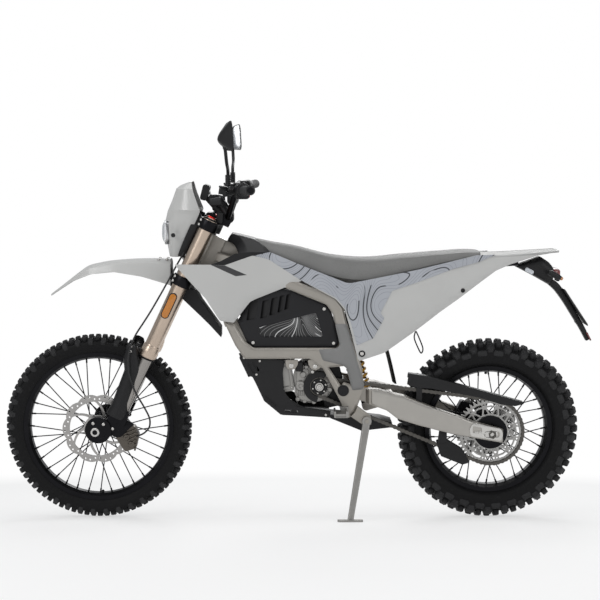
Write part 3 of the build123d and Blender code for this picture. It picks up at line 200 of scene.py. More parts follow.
def swept(path, section, upright=(0, 0, 1), scale=None):
    """A closed section (u, v) carried along a path, times `scale` there.

    Its u lies across the path and its v towards `upright`."""
    path = np.asarray(path, float)
    ahead = unit(np.gradient(path, axis=0))
    across = unit(np.cross(ahead, np.asarray(upright, float)))
    over = np.cross(across, ahead)
    size = np.ones(len(path)) if scale is None else np.asarray(scale, float)
    rings = path[:, None] + size[:, None, None] * (
        section[None, :, :1] * across[:, None] + section[None, :, 1:] * over[:, None]
    )
    return capped(rings)


def bar(x, z, left, right, section, upright=(0, 0, 1)):
    """A section carried straight across the bike at (x, z), from y = left to y = right."""
    return swept([(x, left, z), (x, right, z)], section, upright)


LEFTWARD = (0, -1, 0)
ALONG_X, ALONG_Y = (1, 0, 0), (0, 1, 0)
ASKEW = np.array([0.31, 0.2, 0.93])          # along no axis that a shape turns about


def turned(profile, centre, steps=96, axis=ALONG_Y, closed=True):
    """A profile of (along, radius) turned about an axis: a ring or, if it is open, a shape with flat ends."""
    axis = unit(np.asarray(axis, float))
    first = unit(np.cross(axis, ASKEW))
    second = np.cross(axis, first)
    angle = np.linspace(0, 2 * math.pi, steps, endpoint=False)
    spoke = np.cos(angle)[:, None] * first + np.sin(angle)[:, None] * second
    profile = np.asarray(profile, float)
    rings = centre + profile[:, None, :1] * axis + profile[:, None, 1:] * spoke[None]
    if closed:
        return grid(rings, rows_meet=True, columns_meet=True)
    return capped(rings)


def boss(profile, centre, steps=24, axis=LEFTWARD):
    """A turned profile with flat ends, which stands out to the left unless told otherwise."""
    return turned(profile, centre, steps, axis, closed=False)


def surface(x, y, z):
    """Rows x columns x 3 points from three arrays that are spread over each other's rows and columns."""
    return np.stack(np.broadcast_arrays(x, y, z), -1)


def whole(half):
    """A left half whose columns end on the middle line, followed by its mirror image."""
    return np.concatenate([half, (half * [1, -1, 1])[:, -2::-1]], 1)


def at_depth(outline, y):
    """An outline's (x, z) as points at one y."""
    return np.column_stack([outline[:, 0], np.full(len(outline), y), outline[:, 1]])


def facing_rings(outline, middle_z, levels):
    """Rings square to x: at each (x, width, height), the outline (u, v) times those about the middle line."""
    return np.stack([
        np.column_stack([np.full(len(outline), x), wide * outline[:, 0], middle_z + tall * outline[:, 1]])
        for x, wide, tall in levels
    ])


def from_mesh(mesh):
    """A Blender mesh as a shape, its faces sorted by their number of corners."""
    points = np.zeros(len(mesh.vertices) * 3)
    mesh.vertices.foreach_get("co", points)
    corners = np.zeros(len(mesh.loops), int)
    mesh.loops.foreach_get("vertex_index", corners)
    start = np.zeros(len(mesh.polygons), int)
    mesh.polygons.foreach_get("loop_start", start)
    total = np.zeros(len(mesh.polygons), int)
    mesh.polygons.foreach_get("loop_total", total)
    faces = [corners[start[total == size][:, None] + np.arange(size)] for size in np.unique(total)]
    return points.reshape(-1, 3), faces


def sheet_cut(outlines, wall, edge=0.5):
    """Flat sheet in u and v: the outermost outline bounds it, the rest are holes, and its edges are eased."""
    curve = bpy.data.curves.new("cut", "CURVE")
    curve.dimensions = "2D"
    curve.fill_mode = "BOTH"
    curve.extrude = max(wall / 2 - edge, 0.01)
    curve.bevel_depth = edge
    curve.offset = -edge
    curve.bevel_resolution = 1
    for outline in outlines:
        spline = curve.splines.new("POLY")
        spline.points.add(len(outline) - 1)
        places = np.column_stack([outline, np.zeros(len(outline)), np.ones(len(outline))])
        spline.points.foreach_set("co", places.ravel())
        spline.use_cyclic_u = True
    holder = bpy.data.objects.new("cut", curve)
    bpy.context.scene.collection.objects.link(holder)
    made = bpy.data.meshes.new_from_object(holder.evaluated_get(bpy.context.evaluated_depsgraph_get()))
    shape = from_mesh(made)
    bpy.data.objects.remove(holder)
    bpy.data.curves.remove(curve)
    bpy.data.meshes.remove(made)
    return shape


def laid(shape, origin, across, up):
    """A shape made in u, v, w set down at the origin with u across, v up and w square to both."""
    points, faces = shape
    across, up = unit(np.asarray(across, float)), unit(np.asarray(up, float))
    return np.asarray(origin, float) + points @ np.array([across, up, np.cross(across, up)]), faces


def side_plate(outlines, y, wall, edge=0.5):
    """Flat sheet square to the axles, its outlines given as (x, z) and its middle at y."""
    return laid(sheet_cut(outlines, wall, edge), (0, y, 0), (1, 0, 0), (0, 0, 1))


def from_line(x, z, points):
    """Distance of each (x, z) from an open run of lines."""
    points = np.asarray(points, float)
    start, run = points[:-1], np.diff(points, axis=0)
    place = np.stack([x, z], -1)[..., None, :]
    along = np.clip(((place - start) * run).sum(-1) / (run * run).sum(-1), 0, 1)
    return np.linalg.norm(place - start - along[..., None] * run, axis=-1).min(-1)


def from_outline(x, z, outline):
    """Distance of each (x, z) from the closed outline, positive inside it.

    A point is inside where a line from it along x meets the outline an odd number of times."""
    outline = np.asarray(outline, float)
    near = from_line(x, z, np.concatenate([outline, outline[:1]]))
    ends = np.roll(outline, -1, 0)
    low, high = outline[:, 1], ends[:, 1]
    across, level = np.asarray(x)[..., None], np.asarray(z)[..., None]
    crosses = (low <= level) != (high <= level)
    rise = np.where(high == low, 1, high - low)
    meets = outline[:, 0] + (level - low) / rise * (ends - outline)[:, 0]
    inside = (crosses & (across < meets)).sum(-1) % 2 == 1
    return np.where(inside, near, -near)


def rounded_edge(room, width):
    """Quarter ellipse: 0 on the edge and 1 from `width` inside it."""
    return np.sqrt(1 - (1 - np.clip(room / width, 0, 1)) ** 2)


def step(value, low, high):
    """0 below low, 1 above high and a smooth rise between."""
    t = np.clip((value - low) / (high - low), 0, 1)
    return t * t * (3 - 2 * t)


def softened(outline, reach=8.0, count=5):
    """The outline with each corner replaced by a short curve that starts `reach` before it."""
    outline = np.asarray(outline, float)
    before, after = np.roll(outline, 1, 0) - outline, np.roll(outline, -1, 0) - outline
    lengths = np.linalg.norm(before, axis=1), np.linalg.norm(after, axis=1)
    cut = np.minimum(reach, 0.45 * np.minimum(*lengths))[:, None]
    start = outline + before / lengths[0][:, None] * cut
    end = outline + after / lengths[1][:, None] * cut
    t = np.linspace(0, 1, count)[None, :, None]
    curve = start[:, None] * (1 - t) ** 2 + 2 * outline[:, None] * t * (1 - t) + end[:, None] * t**2
    return curve.reshape(-1, 2)


def dense(outline, spacing):
    """The closed outline with points added along its sides, at most `spacing` apart."""
    outline = np.asarray(outline, float)
    sides = np.roll(outline, -1, 0) - outline
    counts = np.maximum(1, np.ceil(np.linalg.norm(sides, axis=1) / spacing)).astype(int)
    which = np.repeat(np.arange(len(outline)), counts)
    share = np.concatenate([np.arange(count) / count for count in counts])
    return outline[which] + share[:, None] * sides[which]


SIDE_PROBE = 0.5          # step off a closed line that tells its inner side
RIM_ROOM = 0.93           # share of its distance that a rim's point keeps from every line
LATTICE_ROOM = 0.45       # share of the pitch that the lattice keeps from every rim


def skin(outline, depth, pitch=12.0, rims=(2.0,), holes=()):
    """Curved side skin on the left: a lattice of `pitch` inside the outline, each point at y = depth(x, z).

    Rows of points also follow each closed line at the distances `rims`, so it can turn sharply there."""
    rings = [dense(outline, pitch)] + [dense(hole, pitch) for hole in holes]
    points, edges = [], []
    for ring in rings:
        count = sum(len(own) for own in points)
        edges += [(count + k, count + (k + 1) % len(ring)) for k in range(len(ring))]
        points.append(ring)
        side = np.roll(ring, -1, 0) - np.roll(ring, 1, 0)
        normal = unit(np.stack([-side[:, 1], side[:, 0]], -1))
        ahead = ring + normal * SIDE_PROBE
        normal *= np.where(room_in(ahead[:, 0], ahead[:, 1], outline, holes) > 0, 1, -1)[:, None]
        for rim in rims:
            inner = ring + normal * rim
            clear = room_in(inner[:, 0], inner[:, 1], outline, holes) > RIM_ROOM * rim
            count = sum(len(own) for own in points)
            follows = clear & np.roll(clear, -1)
            numbers = (np.cumsum(clear) - 1 + count).tolist()
            edges += [(numbers[k], numbers[(k + 1) % len(ring)]) for k in np.flatnonzero(follows)]
            points.append(inner[clear])
    low, high = rings[0].min(0), rings[0].max(0)
    x, z = np.meshgrid(*(np.arange(low[k] + pitch / 2, high[k], pitch) for k in (0, 1)))
    x = (x + (np.arange(len(x)) % 2)[:, None] * pitch / 2).ravel()
    z = z.ravel()
    clear = room_in(x, z, outline, holes)
    nearest = np.min([np.abs(clear - rim) for rim in (0.0, *rims)], axis=0)
    points.append(np.stack([x, z], -1)[(clear > 0) & (nearest > LATTICE_ROOM * pitch)])
    flat = [Vector(point) for point in np.concatenate(points)]
    made, _, faces, _, _, _ = delaunay_2d_cdt(flat, edges, [], 0, 1e-4)
    made, faces = np.array(made), np.array(faces)
    middle = made[faces].mean(1)
    faces = faces[room_in(middle[:, 0], middle[:, 1], outline, holes) > 0]
    x, z = made[:, 0], made[:, 1]
    return np.stack([x, depth(x, z), z], -1), [faces]


def room_in(x, z, outline, holes=()):
    """Distance inside the outline and outside every hole, negative elsewhere."""
    room = from_outline(x, z, outline)
    for hole in holes:
        room = np.minimum(room, -from_outline(x, z, hole))
    return room


def ease_edges(made, width, angle):
    """Bevels `width` mm wide where faces turn by more than `angle` degrees."""
    edge = made.modifiers.new("edges", "BEVEL")
    edge.width = width * MM
    edge.segments = 2
    edge.limit_method = "ANGLE"
    edge.angle_limit = math.radians(angle)
    edge.use_clamp_overlap = True


def piece(name, shape, finish, body, replaces=(), wall=0.0, bevel=0.0, angle=32, levels=0, offset=-1):
    """The shape as a Blender object on its body: walled, bevelled and subdivided by modifiers where asked."""
    points, faces = shape
    mesh = bpy.data.meshes.new(name)
    mesh.from_pydata(parked(points).tolist(), [], [face for block in faces for face in block.tolist()])
    work = bmesh.new()
    work.from_mesh(mesh)
    bmesh.ops.remove_doubles(work, verts=work.verts[:], dist=1e-6)
    if not wall:
        bmesh.ops.recalc_face_normals(work, faces=work.faces[:])
    work.to_mesh(mesh)
    work.free()
    mesh.polygons.foreach_set("use_smooth", np.ones(len(mesh.polygons), bool))
    mesh.set_sharp_from_angle(angle=math.radians(angle))
    mesh.materials.append(finish.material)
    made = bpy.data.objects.new(name, mesh)
    bpy.context.scene.collection.objects.link(made)
    if wall:
        solid = made.modifiers.new("wall", "SOLIDIFY")
        solid.thickness = wall * MM
        solid.offset = offset
        solid.use_even_offset = False
    if bevel:
        ease_edges(made, bevel, angle)
    if levels:
        round_off = made.modifiers.new("rounding", "SUBSURF")
        round_off.levels = levels
        round_off.render_levels = levels
    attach(made, body)
    if replaces:
        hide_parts(*replaces)
    return made


# ---------------------------------------------------------------- shader maths

class Wire:
    """One output of a node: arithmetic on wires and numbers adds Math nodes to the same material."""

    def __init__(self, finish, socket):
        self.finish = finish
        self.socket = socket

    def maths(self, operation, *values):
        return self.finish.node("ShaderNodeMath", values, operation=operation)

    def __add__(self, other):
        return self.maths("ADD", self, other)

    def __sub__(self, other):
        return self.maths("SUBTRACT", self, other)

    def __rsub__(self, other):
        return self.maths("SUBTRACT", other, self)

    def __mul__(self, other):
        return self.maths("MULTIPLY", self, other)

    def __truediv__(self, other):
        return self.maths("DIVIDE", self, other)

    def __rtruediv__(self, other):
        return self.maths("DIVIDE", other, self)

    __radd__ = __add__
    __rmul__ = __mul__

    def least(self, other):
        return self.maths("MINIMUM", self, other)

    def most(self, other):
        return self.maths("MAXIMUM", self, other)

    def size(self):
        return self.maths("ABSOLUTE", self)

    def part(self):
        return self.maths("FRACT", self)

    def sine(self):
        return self.maths("SINE", self)

    def root(self):
        return self.maths("SQRT", self)

    def rise(self, low, high):
        """0 below low, 1 above high, smooth between; low may be the greater."""
        values = {"Value": self, "From Min": low, "From Max": high}
        return self.finish.node("ShaderNodeMapRange", values, interpolation_type="SMOOTHSTEP")


class Finish:
    """A material in the making, with one method that adds any node and hands back one of its outputs."""

    def __init__(self, name, colour, roughness, metallic=0.0, **sockets):
        self.material = bpy.data.materials.new(name)
        self.material.use_nodes = True
        self.tree = self.material.node_tree
        self.shader = self.tree.nodes["Principled BSDF"]
        self.set("Base Color", (*colour, 1))
        self.set("Roughness", roughness)
        self.set("Metallic", metallic)
        for socket, value in sockets.items():
            self.set(socket.replace("_", " "), value)
        self.place = self.node("ShaderNodeTexCoord", output="Object")
        self.material.diffuse_color = (*colour, 1)

    def node(self, kind, inputs=(), output=0, **settings):
        made = self.tree.nodes.new(kind)
        for setting, value in settings.items():
            setattr(made, setting, value)
        for key, value in inputs.items() if isinstance(inputs, dict) else enumerate(inputs):
            self.plug(made.inputs[key], value)
        return Wire(self, made.outputs[output])

    def plug(self, socket, value):
        if isinstance(value, Wire):
            self.tree.links.new(value.socket, socket)
        elif isinstance(value, tuple) and len(value) == 3 and socket.type == "RGBA":
            socket.default_value = (*value, 1)
        else:
            socket.default_value = value

    def set(self, socket, value):
        self.plug(self.shader.inputs[socket], value)

    def mix(self, share, first, second):
        """Colour: `first` where share is 0 and `second` where it is 1."""
        return self.node("ShaderNodeMix", {0: share, 6: first, 7: second}, output=2, data_type="RGBA")

    def along(self, direction):
        """How far a place lies along a direction, in metres."""
        settings = {"output": "Value", "operation": "DOT_PRODUCT"}
        return self.node("ShaderNodeVectorMath", [self.place, tuple(direction)], **settings)

    def coordinate(self, direction):
        """Millimetres along one of the bike's axes from its ground point."""
        return (self.along(direction) - float(GROUND @ direction)) / MM

    def noise(self, scale, detail=2.0, roughness=0.5, distortion=0.0, at=None):
        """Soft noise from 0 to 1, `scale` grains to the metre."""
        values = {"Scale": scale, "Detail": detail, "Roughness": roughness, "Distortion": distortion}
        return self.node("ShaderNodeTexNoise", {"Vector": at or self.place, **values})

    def cells(self, scale):
        """Soft-edged cells, `scale` to the metre: 0 in the middle of each and rising to its edge."""
        values = {"Vector": self.place, "Scale": scale}
        return self.node("ShaderNodeTexVoronoi", values, output="Distance", feature="SMOOTH_F1")

    def stretched(self, direction, by):
        """The place with its part along one direction shrunk, so that grain on it runs that way."""
        values = {0: tuple(direction), "Scale": self.along(direction) * (by - 1.0)}
        shift = self.node("ShaderNodeVectorMath", values, operation="SCALE")
        return self.node("ShaderNodeVectorMath", [self.place, shift], operation="ADD")

    def bump(self, height, depth):
        """Normal of a surface raised by `height` times `depth` metres."""
        return self.node("ShaderNodeBump", {"Height": height, "Distance": depth, "Strength": 1.0})


def shade(colour, factor):
    return tuple(min(1.0, channel * factor) for channel in colour)


def moulded(
    name, colour, roughness, grain=900.0, depth=0.00004, mottle=0.06, coat=0.0, metallic=0.0, **others
):
    """Moulded or painted surface: fine grain, a soft drift of tone and gloss, and a few finer specks."""
    made = Finish(name, colour, roughness, metallic, Coat_Weight=coat, Coat_Roughness=0.12, **others)
    drift = made.noise(9.0, 3.0)
    fine = made.noise(grain, 2.0, 0.6)
    tone = made.mix(drift.rise(0.3, 0.7), shade(colour, 1 - mottle), shade(colour, 1 + mottle))
    made.set("Base Color", made.mix(fine.rise(0.35, 0.75) * 0.35, tone, shade(colour, 1 + 2 * mottle)))
    made.set("Roughness", roughness + (drift - 0.5) * 0.08 + (fine - 0.5) * 0.1)
    made.set("Normal", made.bump(fine, depth))
    return made


def metal(name, colour, roughness, grain_along=None, scale=700.0, depth=0.00002, mottle=0.05):
    """Bare or anodised metal: brushing along one direction or an even blasted grain, with handled patches."""
    made = Finish(name, colour, roughness, 1.0)
    place = made.stretched(grain_along, 0.04) if grain_along is not None else made.place
    fine = made.noise(scale, 3.0, 0.65, at=place)
    drift = made.noise(14.0, 3.0)
    tone = made.mix(drift.rise(0.3, 0.72), shade(colour, 1 - mottle), shade(colour, 1 + mottle))
    made.set("Base Color", made.mix(fine.rise(0.3, 0.8) * 0.4, tone, shade(colour, 1 + 2 * mottle)))
    made.set("Roughness", roughness + (fine - 0.5) * 0.22 + (drift - 0.5) * 0.1)
    made.set("Normal", made.bump(fine, depth))
    return made


# ---------------------------------------------------------------- finishes
RING_PITCH = 0.9          # mm between the grinding marks of a brake disc


def ringed(name, colour, roughness, centre):
    """Ground metal marked in circles: noise that changes only with the distance from the axle."""
    made = Finish(name, colour, roughness, 1.0)
    ahead = made.coordinate(REARWARD) - float(centre[0])
    above = made.coordinate(UP) - float(centre[2])
    radius = (ahead * ahead + above * above).root()
    values = {"W": radius / RING_PITCH, "Scale": 1.0, "Detail": 3.0}
    rings = made.node("ShaderNodeTexNoise", values, noise_dimensions="1D")
    drift = made.noise(12.0)
    made.set("Base Color", made.mix(rings.rise(0.25, 0.8), shade(colour, 0.86), shade(colour, 1.12)))
    made.set("Roughness", roughness + (rings - 0.5) * 0.25 + (drift - 0.5) * 0.1)
    made.set("Normal", made.bump(rings, 0.00002))
    return made


def tyre_rubber(name, light, sheen):
    """Matt rubber with a fine pitted grain, lighter where it is scuffed; `light` scales its colours, and the
    tread's copy is made lighter as painted light.
    """
    colours = (0.006, 0.006, 0.0065), (0.016, 0.016, 0.017), (0.03, 0.03, 0.031)
    dark, dusty, speck = (shade(colour, light) for colour in colours)
    made = Finish(name, (0.007, 0.007, 0.008), 0.6, Specular_IOR_Level=sheen)
    pits = made.noise(1500.0, 2.0, 0.6)
    scuff = made.noise(60.0, 4.0, 0.6)
    dust = made.mix(scuff.rise(0.5, 0.72) * 0.5, dark, dusty)
    made.set("Base Color", made.mix(pits.rise(0.45, 0.8) * 0.3, dust, speck))
    made.set("Roughness", 0.6 + (scuff - 0.5) * 0.25)
    made.set("Normal", made.bump(pits * 0.7 + scuff * 0.3, 0.00008))
    return made


def seat_vinyl():
    """Grained vinyl: cells for the grain, a soft drift of tone and a slight sheen."""
    made = Finish("seat vinyl", (0.17, 0.17, 0.166), 0.6, Specular_IOR_Level=0.22)
    grain = made.cells(520.0)
    creases = made.noise(170.0, 4.0, 0.65)
    drift = made.noise(7.0, 3.0)
    tone = made.mix(drift.rise(0.3, 0.72), (0.158, 0.158, 0.155), (0.186, 0.186, 0.182))
    made.set("Base Color", made.mix(grain.rise(0.35, 0.8) * 0.5, tone, (0.115, 0.115, 0.112)))
    made.set("Roughness", 0.5 + grain * 0.2 + (creases - 0.5) * 0.16)
    made.set("Normal", made.bump(creases * 0.35 - grain, 0.00022))
    return made


SLOPE_STEP = 2.0          # mm over which the land's slope is taken


def contour_lines(made, spread, thin_gap, thin, heavy):
    """Contour lines of even width on a soft land: (thin lines, some heavier ones), each 1 on a line.

    The land's height from the nearest level, over its slope, is the distance from a line in millimetres."""
    x, z = made.coordinate(REARWARD), made.coordinate(UP)
    scale_x, scale_z = MM * spread, MM * spread * 1.15

    def land(shift_x, shift_z):
        place = [(x + shift_x) * scale_x, (z + shift_z) * scale_z, 0.37]
        return made.noise(1.0, 1.0, 0.35, 0.5, at=made.node("ShaderNodeCombineXYZ", place))

    here = land(0.0, 0.0)
    slope_x = (land(SLOPE_STEP, 0.0) - here) / SLOPE_STEP
    slope_z = (land(0.0, SLOPE_STEP) - here) / SLOPE_STEP
    slope = (slope_x * slope_x + slope_z * slope_z).root().most(0.00025)
    heavy_gap = thin_gap * 4.0
    off_thin = ((here / thin_gap).part() - 0.5).size() * thin_gap / slope
    off_heavy = ((here / heavy_gap + 0.13).part() - 0.5).size() * heavy_gap / slope
    thin_lines = off_thin.rise(thin * 0.5 + 0.4, thin * 0.5 - 0.2)
    heavy_lines = off_heavy.rise(heavy * 0.5 + 0.3, heavy * 0.5 - 0.3)
    return thin_lines, heavy_lines * made.noise(9.0, 1.0).rise(0.42, 0.44)


def left_of(made, start, end):
    """How far a place lies left of the line from start to end, in millimetres, with x to the right."""
    x, z = made.coordinate(REARWARD), made.coordinate(UP)
    run_x, run_z = end[0] - start[0], end[1] - start[1]
    length = math.hypot(run_x, run_z)
    return (z - float(start[1])) * (run_x / length) - (x - float(start[0])) * (run_z / length)


def within(made, outline, soft=0.5):
    """1 inside a convex outline of (x, z) taken anticlockwise, seen with x to the right."""
    room = None
    for start, end in zip(outline, outline[1:] + outline[:1]):
        clear = left_of(made, start, end)
        room = clear if room is None else room.least(clear)
    return room.rise(0.0, soft)


PANEL_GREY = (0.475, 0.475, 0.465)


def contour_film():
    """Bluish grey film over the side panels, printed with thin grey and heavier dark contour lines."""
    made = moulded("contour film", (0.36, 0.375, 0.41), 0.34, 700.0, 0.00002, 0.02, coat=0.3)
    thin, heavy = contour_lines(made, 3.6, 0.0165, 1.1, 4.4)
    drift = made.noise(5.0).rise(0.3, 0.7)
    ground = made.mix(drift, (0.345, 0.36, 0.395), (0.385, 0.4, 0.435))
    printed = made.mix(thin * 0.8, ground, (0.19, 0.205, 0.23))
    made.set("Base Color", made.mix(heavy, printed, (0.035, 0.038, 0.045)))
    return made


def shroud_colours():
    """Light grey plastic crossed by a black band."""
    made = moulded("shroud plastic", PANEL_GREY, 0.32, 700.0, 0.00002, 0.02, coat=0.3)
    band = within(made, [(520, 927), (562, 931), (481, 967), (428, 970)])
    plain = made.mix(made.noise(6.0).rise(0.3, 0.7), shade(PANEL_GREY, 0.985), shade(PANEL_GREY, 1.015))
    made.set("Base Color", made.mix(band, plain, (0.02, 0.02, 0.022)))
    return made


def battery_print():
    """Black moulded floor printed with flowing grey and white contour lines."""
    colour = (0.012, 0.012, 0.013)
    made = moulded("battery print", colour, 0.5, grain=1300.0, depth=0.00005)
    thin, heavy = contour_lines(made, 6.0, 0.02, 1.5, 3.0)
    printed = made.mix(thin, colour, (0.2, 0.2, 0.2))
    made.set("Base Color", made.mix(heavy, printed, (0.62, 0.62, 0.62)))
    return made


def lens(name, colour, **sockets):
    """Moulded lens with upright flutes inside its clear skin, their crests painted lighter and their troughs
    darker as painted light and shade.
    """
    made = Finish(name, colour, 0.08, Coat_Weight=0.6, Coat_Roughness=0.04, **sockets)
    flutes = (made.coordinate(RIGHT) * 0.9).sine()
    made.set("Normal", made.bump(flutes, 0.0004))
    # painted light and shade: the colour is lighter on the flutes' crests and darker in their troughs
    made.set("Base Color", made.mix(flutes.rise(-1.0, 1.0), shade(colour, 0.7), shade(colour, 1.15)))
    return made


rubber = tyre_rubber("tyre rubber", 0.75, 0.16)
# the tread's copy of the rubber is 1.9 times lighter than the carcass's 0.75: painted light for the knobs'
# faces catching the lamps
block_rubber_with_painted_light = tyre_rubber("tread rubber with painted light", 1.9, 0.32)
grip_rubber = moulded("grip rubber", (0.012, 0.012, 0.013), 0.65, 1600.0, 0.0001, 0.12)
vinyl = seat_vinyl()

black_alloy = metal("black anodised", (0.014, 0.014, 0.0155), 0.36, mottle=0.12)
cast_alloy = metal("cast aluminium", (0.31, 0.303, 0.29), 0.44, scale=420.0, depth=0.00006)
machined = metal("machined aluminium", (0.55, 0.54, 0.52), 0.26)
champagne = metal("champagne anodised", (0.5, 0.41, 0.335), 0.3, scale=900.0)
red_alloy = metal("red anodised", (0.55, 0.02, 0.015), 0.3)
bronze_alloy = metal("bronze grey caliper", (0.11, 0.098, 0.085), 0.4, scale=500.0, depth=0.00004)
arm_paint = metal("brushed arm", (0.4, 0.385, 0.36), 0.38, grain_along=REARWARD, scale=900.0)
chain_metal = metal("chain steel", (0.1, 0.095, 0.088), 0.36, scale=900.0)
stanchion_chrome = metal("chromed stanchion", (0.3, 0.285, 0.27), 0.24, scale=900.0, mottle=0.02)
bowl_chrome = metal("chromed bowl", (0.78, 0.79, 0.81), 0.42, scale=60.0, depth=0.0, mottle=0.02)
mirror_glass = metal("mirror glass", (0.3, 0.31, 0.325), 0.24, scale=40.0, depth=0.0, mottle=0.01)
front_steel = ringed("front disc steel", (0.37, 0.36, 0.35), 0.32, FRONT_AXLE)
rear_steel = ringed("rear disc steel", (0.35, 0.345, 0.335), 0.32, REAR_AXLE)

frame_paint = moulded(
    "frame paint", (0.315, 0.295, 0.265), 0.36, 1500.0, 0.00003, 0.04, coat=0.25, metallic=0.45
)
spring_gold = moulded("gold spring paint", (0.62, 0.33, 0.04), 0.28, 900.0, 0.00002, 0.06, coat=0.4)
grey_plastic = moulded("light grey plastic", PANEL_GREY, 0.32, 700.0, 0.00002, 0.02, coat=0.35)
# the deck's plastic is the panel grey darkened to 0.82: painted shade that tones down the deck's top under
# the overhead light
deck_plastic_with_painted_shade = moulded(
    "deck grey plastic with painted shade", shade(PANEL_GREY, 0.82), 0.55, 700.0, 0.00002, 0.02, Specular_IOR_Level=0.15
)
guard_plastic = moulded("mid grey plastic", (0.185, 0.185, 0.183), 0.5, 1100.0, 0.00005, 0.06)
black_plastic = moulded(
    "black plastic", (0.009, 0.009, 0.0098), 0.46, 1300.0, 0.00006, 0.15, Specular_IOR_Level=0.28
)
guard_black = moulded(
    "guard black", (0.006, 0.006, 0.007), 0.44, 1300.0, 0.00005, 0.12, Specular_IOR_Level=0.3
)
battery_plastic = moulded(
    "battery cover plastic", (0.011, 0.011, 0.0125), 0.5, 1300.0, 0.00006, 0.12, Specular_IOR_Level=0.25
)
red_plastic = moulded("red switch plastic", (0.5, 0.015, 0.01), 0.4)
mirror_black = moulded("dark display glass", (0.01, 0.011, 0.013), 0.08, 300.0, 0.0, 0.05, coat=0.6)
graphic_plastic = contour_film()
shroud_plastic = shroud_colours()
print_plastic = battery_print()

clear_lens = lens("clear lens", (0.66, 0.69, 0.73), Transmission_Weight=0.22, IOR=1.3)
red_lens = lens("red lens", (0.17, 0.006, 0.006))
amber_lens = lens("amber lens", (0.5, 0.17, 0.006))


def finish_node(name, finish, bevel):
    """Gives a CAD node its finish; with a bevel, modifiers merge its loose triangles and ease its edges."""
    node = frame["nodes"][name]
    node.data.materials.clear()
    node.data.materials.append(finish.material)
    if bevel:
        weld = node.modifiers.new("weld", "WELD")
        weld.merge_threshold = 1e-5
        flat = node.modifiers.new("flat", "DECIMATE")
        flat.decimate_type = "DISSOLVE"
        flat.angle_limit = math.radians(0.5)
        ease_edges(node, bevel, 30)


BEVELS = {
    "main_frame": 7.0, "swingarm": 5.0, "side_stand": 2.0, "chain_guards": 1.2, "foot_controls": 1.0,
    "front_brake_caliper": 2.0, "triple_clamps": 1.5, "drive_motor": 1.0, "skid_plate": 0.8,
    "hand_controls": 1.2, "fender_blade": 0.8, "rear_brake_caliper": 1.5,
}
for name, finish in (
    ("front_tyre", rubber), ("rear_tyre", rubber), ("front_rim", black_alloy), ("rear_rim", black_alloy),
    ("front_hub", black_alloy), ("rear_hub", black_alloy), ("front_brake_disc", front_steel),
    ("rear_brake_disc", rear_steel), ("rear_sprocket", rear_steel), ("fork_tubes", champagne),
    ("fork_legs", black_alloy), ("triple_clamps", black_alloy), ("fork_guards", black_plastic),
    ("front_brake_caliper", bronze_alloy), ("headlight_cowl", grey_plastic),
    ("headlight_lamp", black_plastic), ("front_fender", grey_plastic), ("fender_blade", black_plastic),
    ("handlebar", black_alloy), ("grips", grip_rubber), ("hand_controls", black_plastic),
    ("mirrors", black_plastic), ("brake_hose", grip_rubber), ("main_frame", frame_paint),
    ("rear_subframe", black_alloy), ("frame_guards", guard_plastic), ("battery_pack", black_plastic),
    ("battery_covers", battery_plastic), ("drive_motor", cast_alloy), ("motor_controller", cast_alloy),
    ("skid_plate", black_plastic), ("swingarm", frame_paint), ("drive_chain", chain_metal),
    ("chain_guards", black_plastic), ("rear_shock", black_alloy), ("shock_spring", spring_gold),
    ("side_shrouds", grey_plastic), ("tank_covers", black_plastic), ("seat", vinyl),
    ("rear_bodywork", graphic_plastic), ("mud_flap", black_plastic), ("plate_holder", black_plastic),
    ("rear_lights", red_lens), ("foot_controls", cast_alloy), ("rear_brake_caliper", black_alloy),
    ("side_stand", cast_alloy),
):
    finish_node(name, finish, BEVELS.get(name, 0.0))


# ---------------------------------------------------------------- tyres
def knob(length, width, height):
    """Tread block: rounded rectangles that shrink from a foot below the carcass to a chamfered top."""
    foot = rounded(length, width, 0.22 * min(length, width), 2)
    levels = ((-3.0, 1.12), (0.0, 1.06), (height - 1.6, 0.9), (height, 0.78))
    rings = [np.column_stack([foot * size, np.full(len(foot), level)]) for level, size in levels]
    return capped(np.stack(rings))


def round_wheel(turn):
    """Directions out from a wheel's axle and along its tread, at each angle."""
    level = np.zeros(len(turn))
    out = np.column_stack([np.cos(turn), level, np.sin(turn)])
    return out, np.column_stack([-np.sin(turn), level, np.cos(turn)])


LUG_RISE = 4.8            # of the side lugs


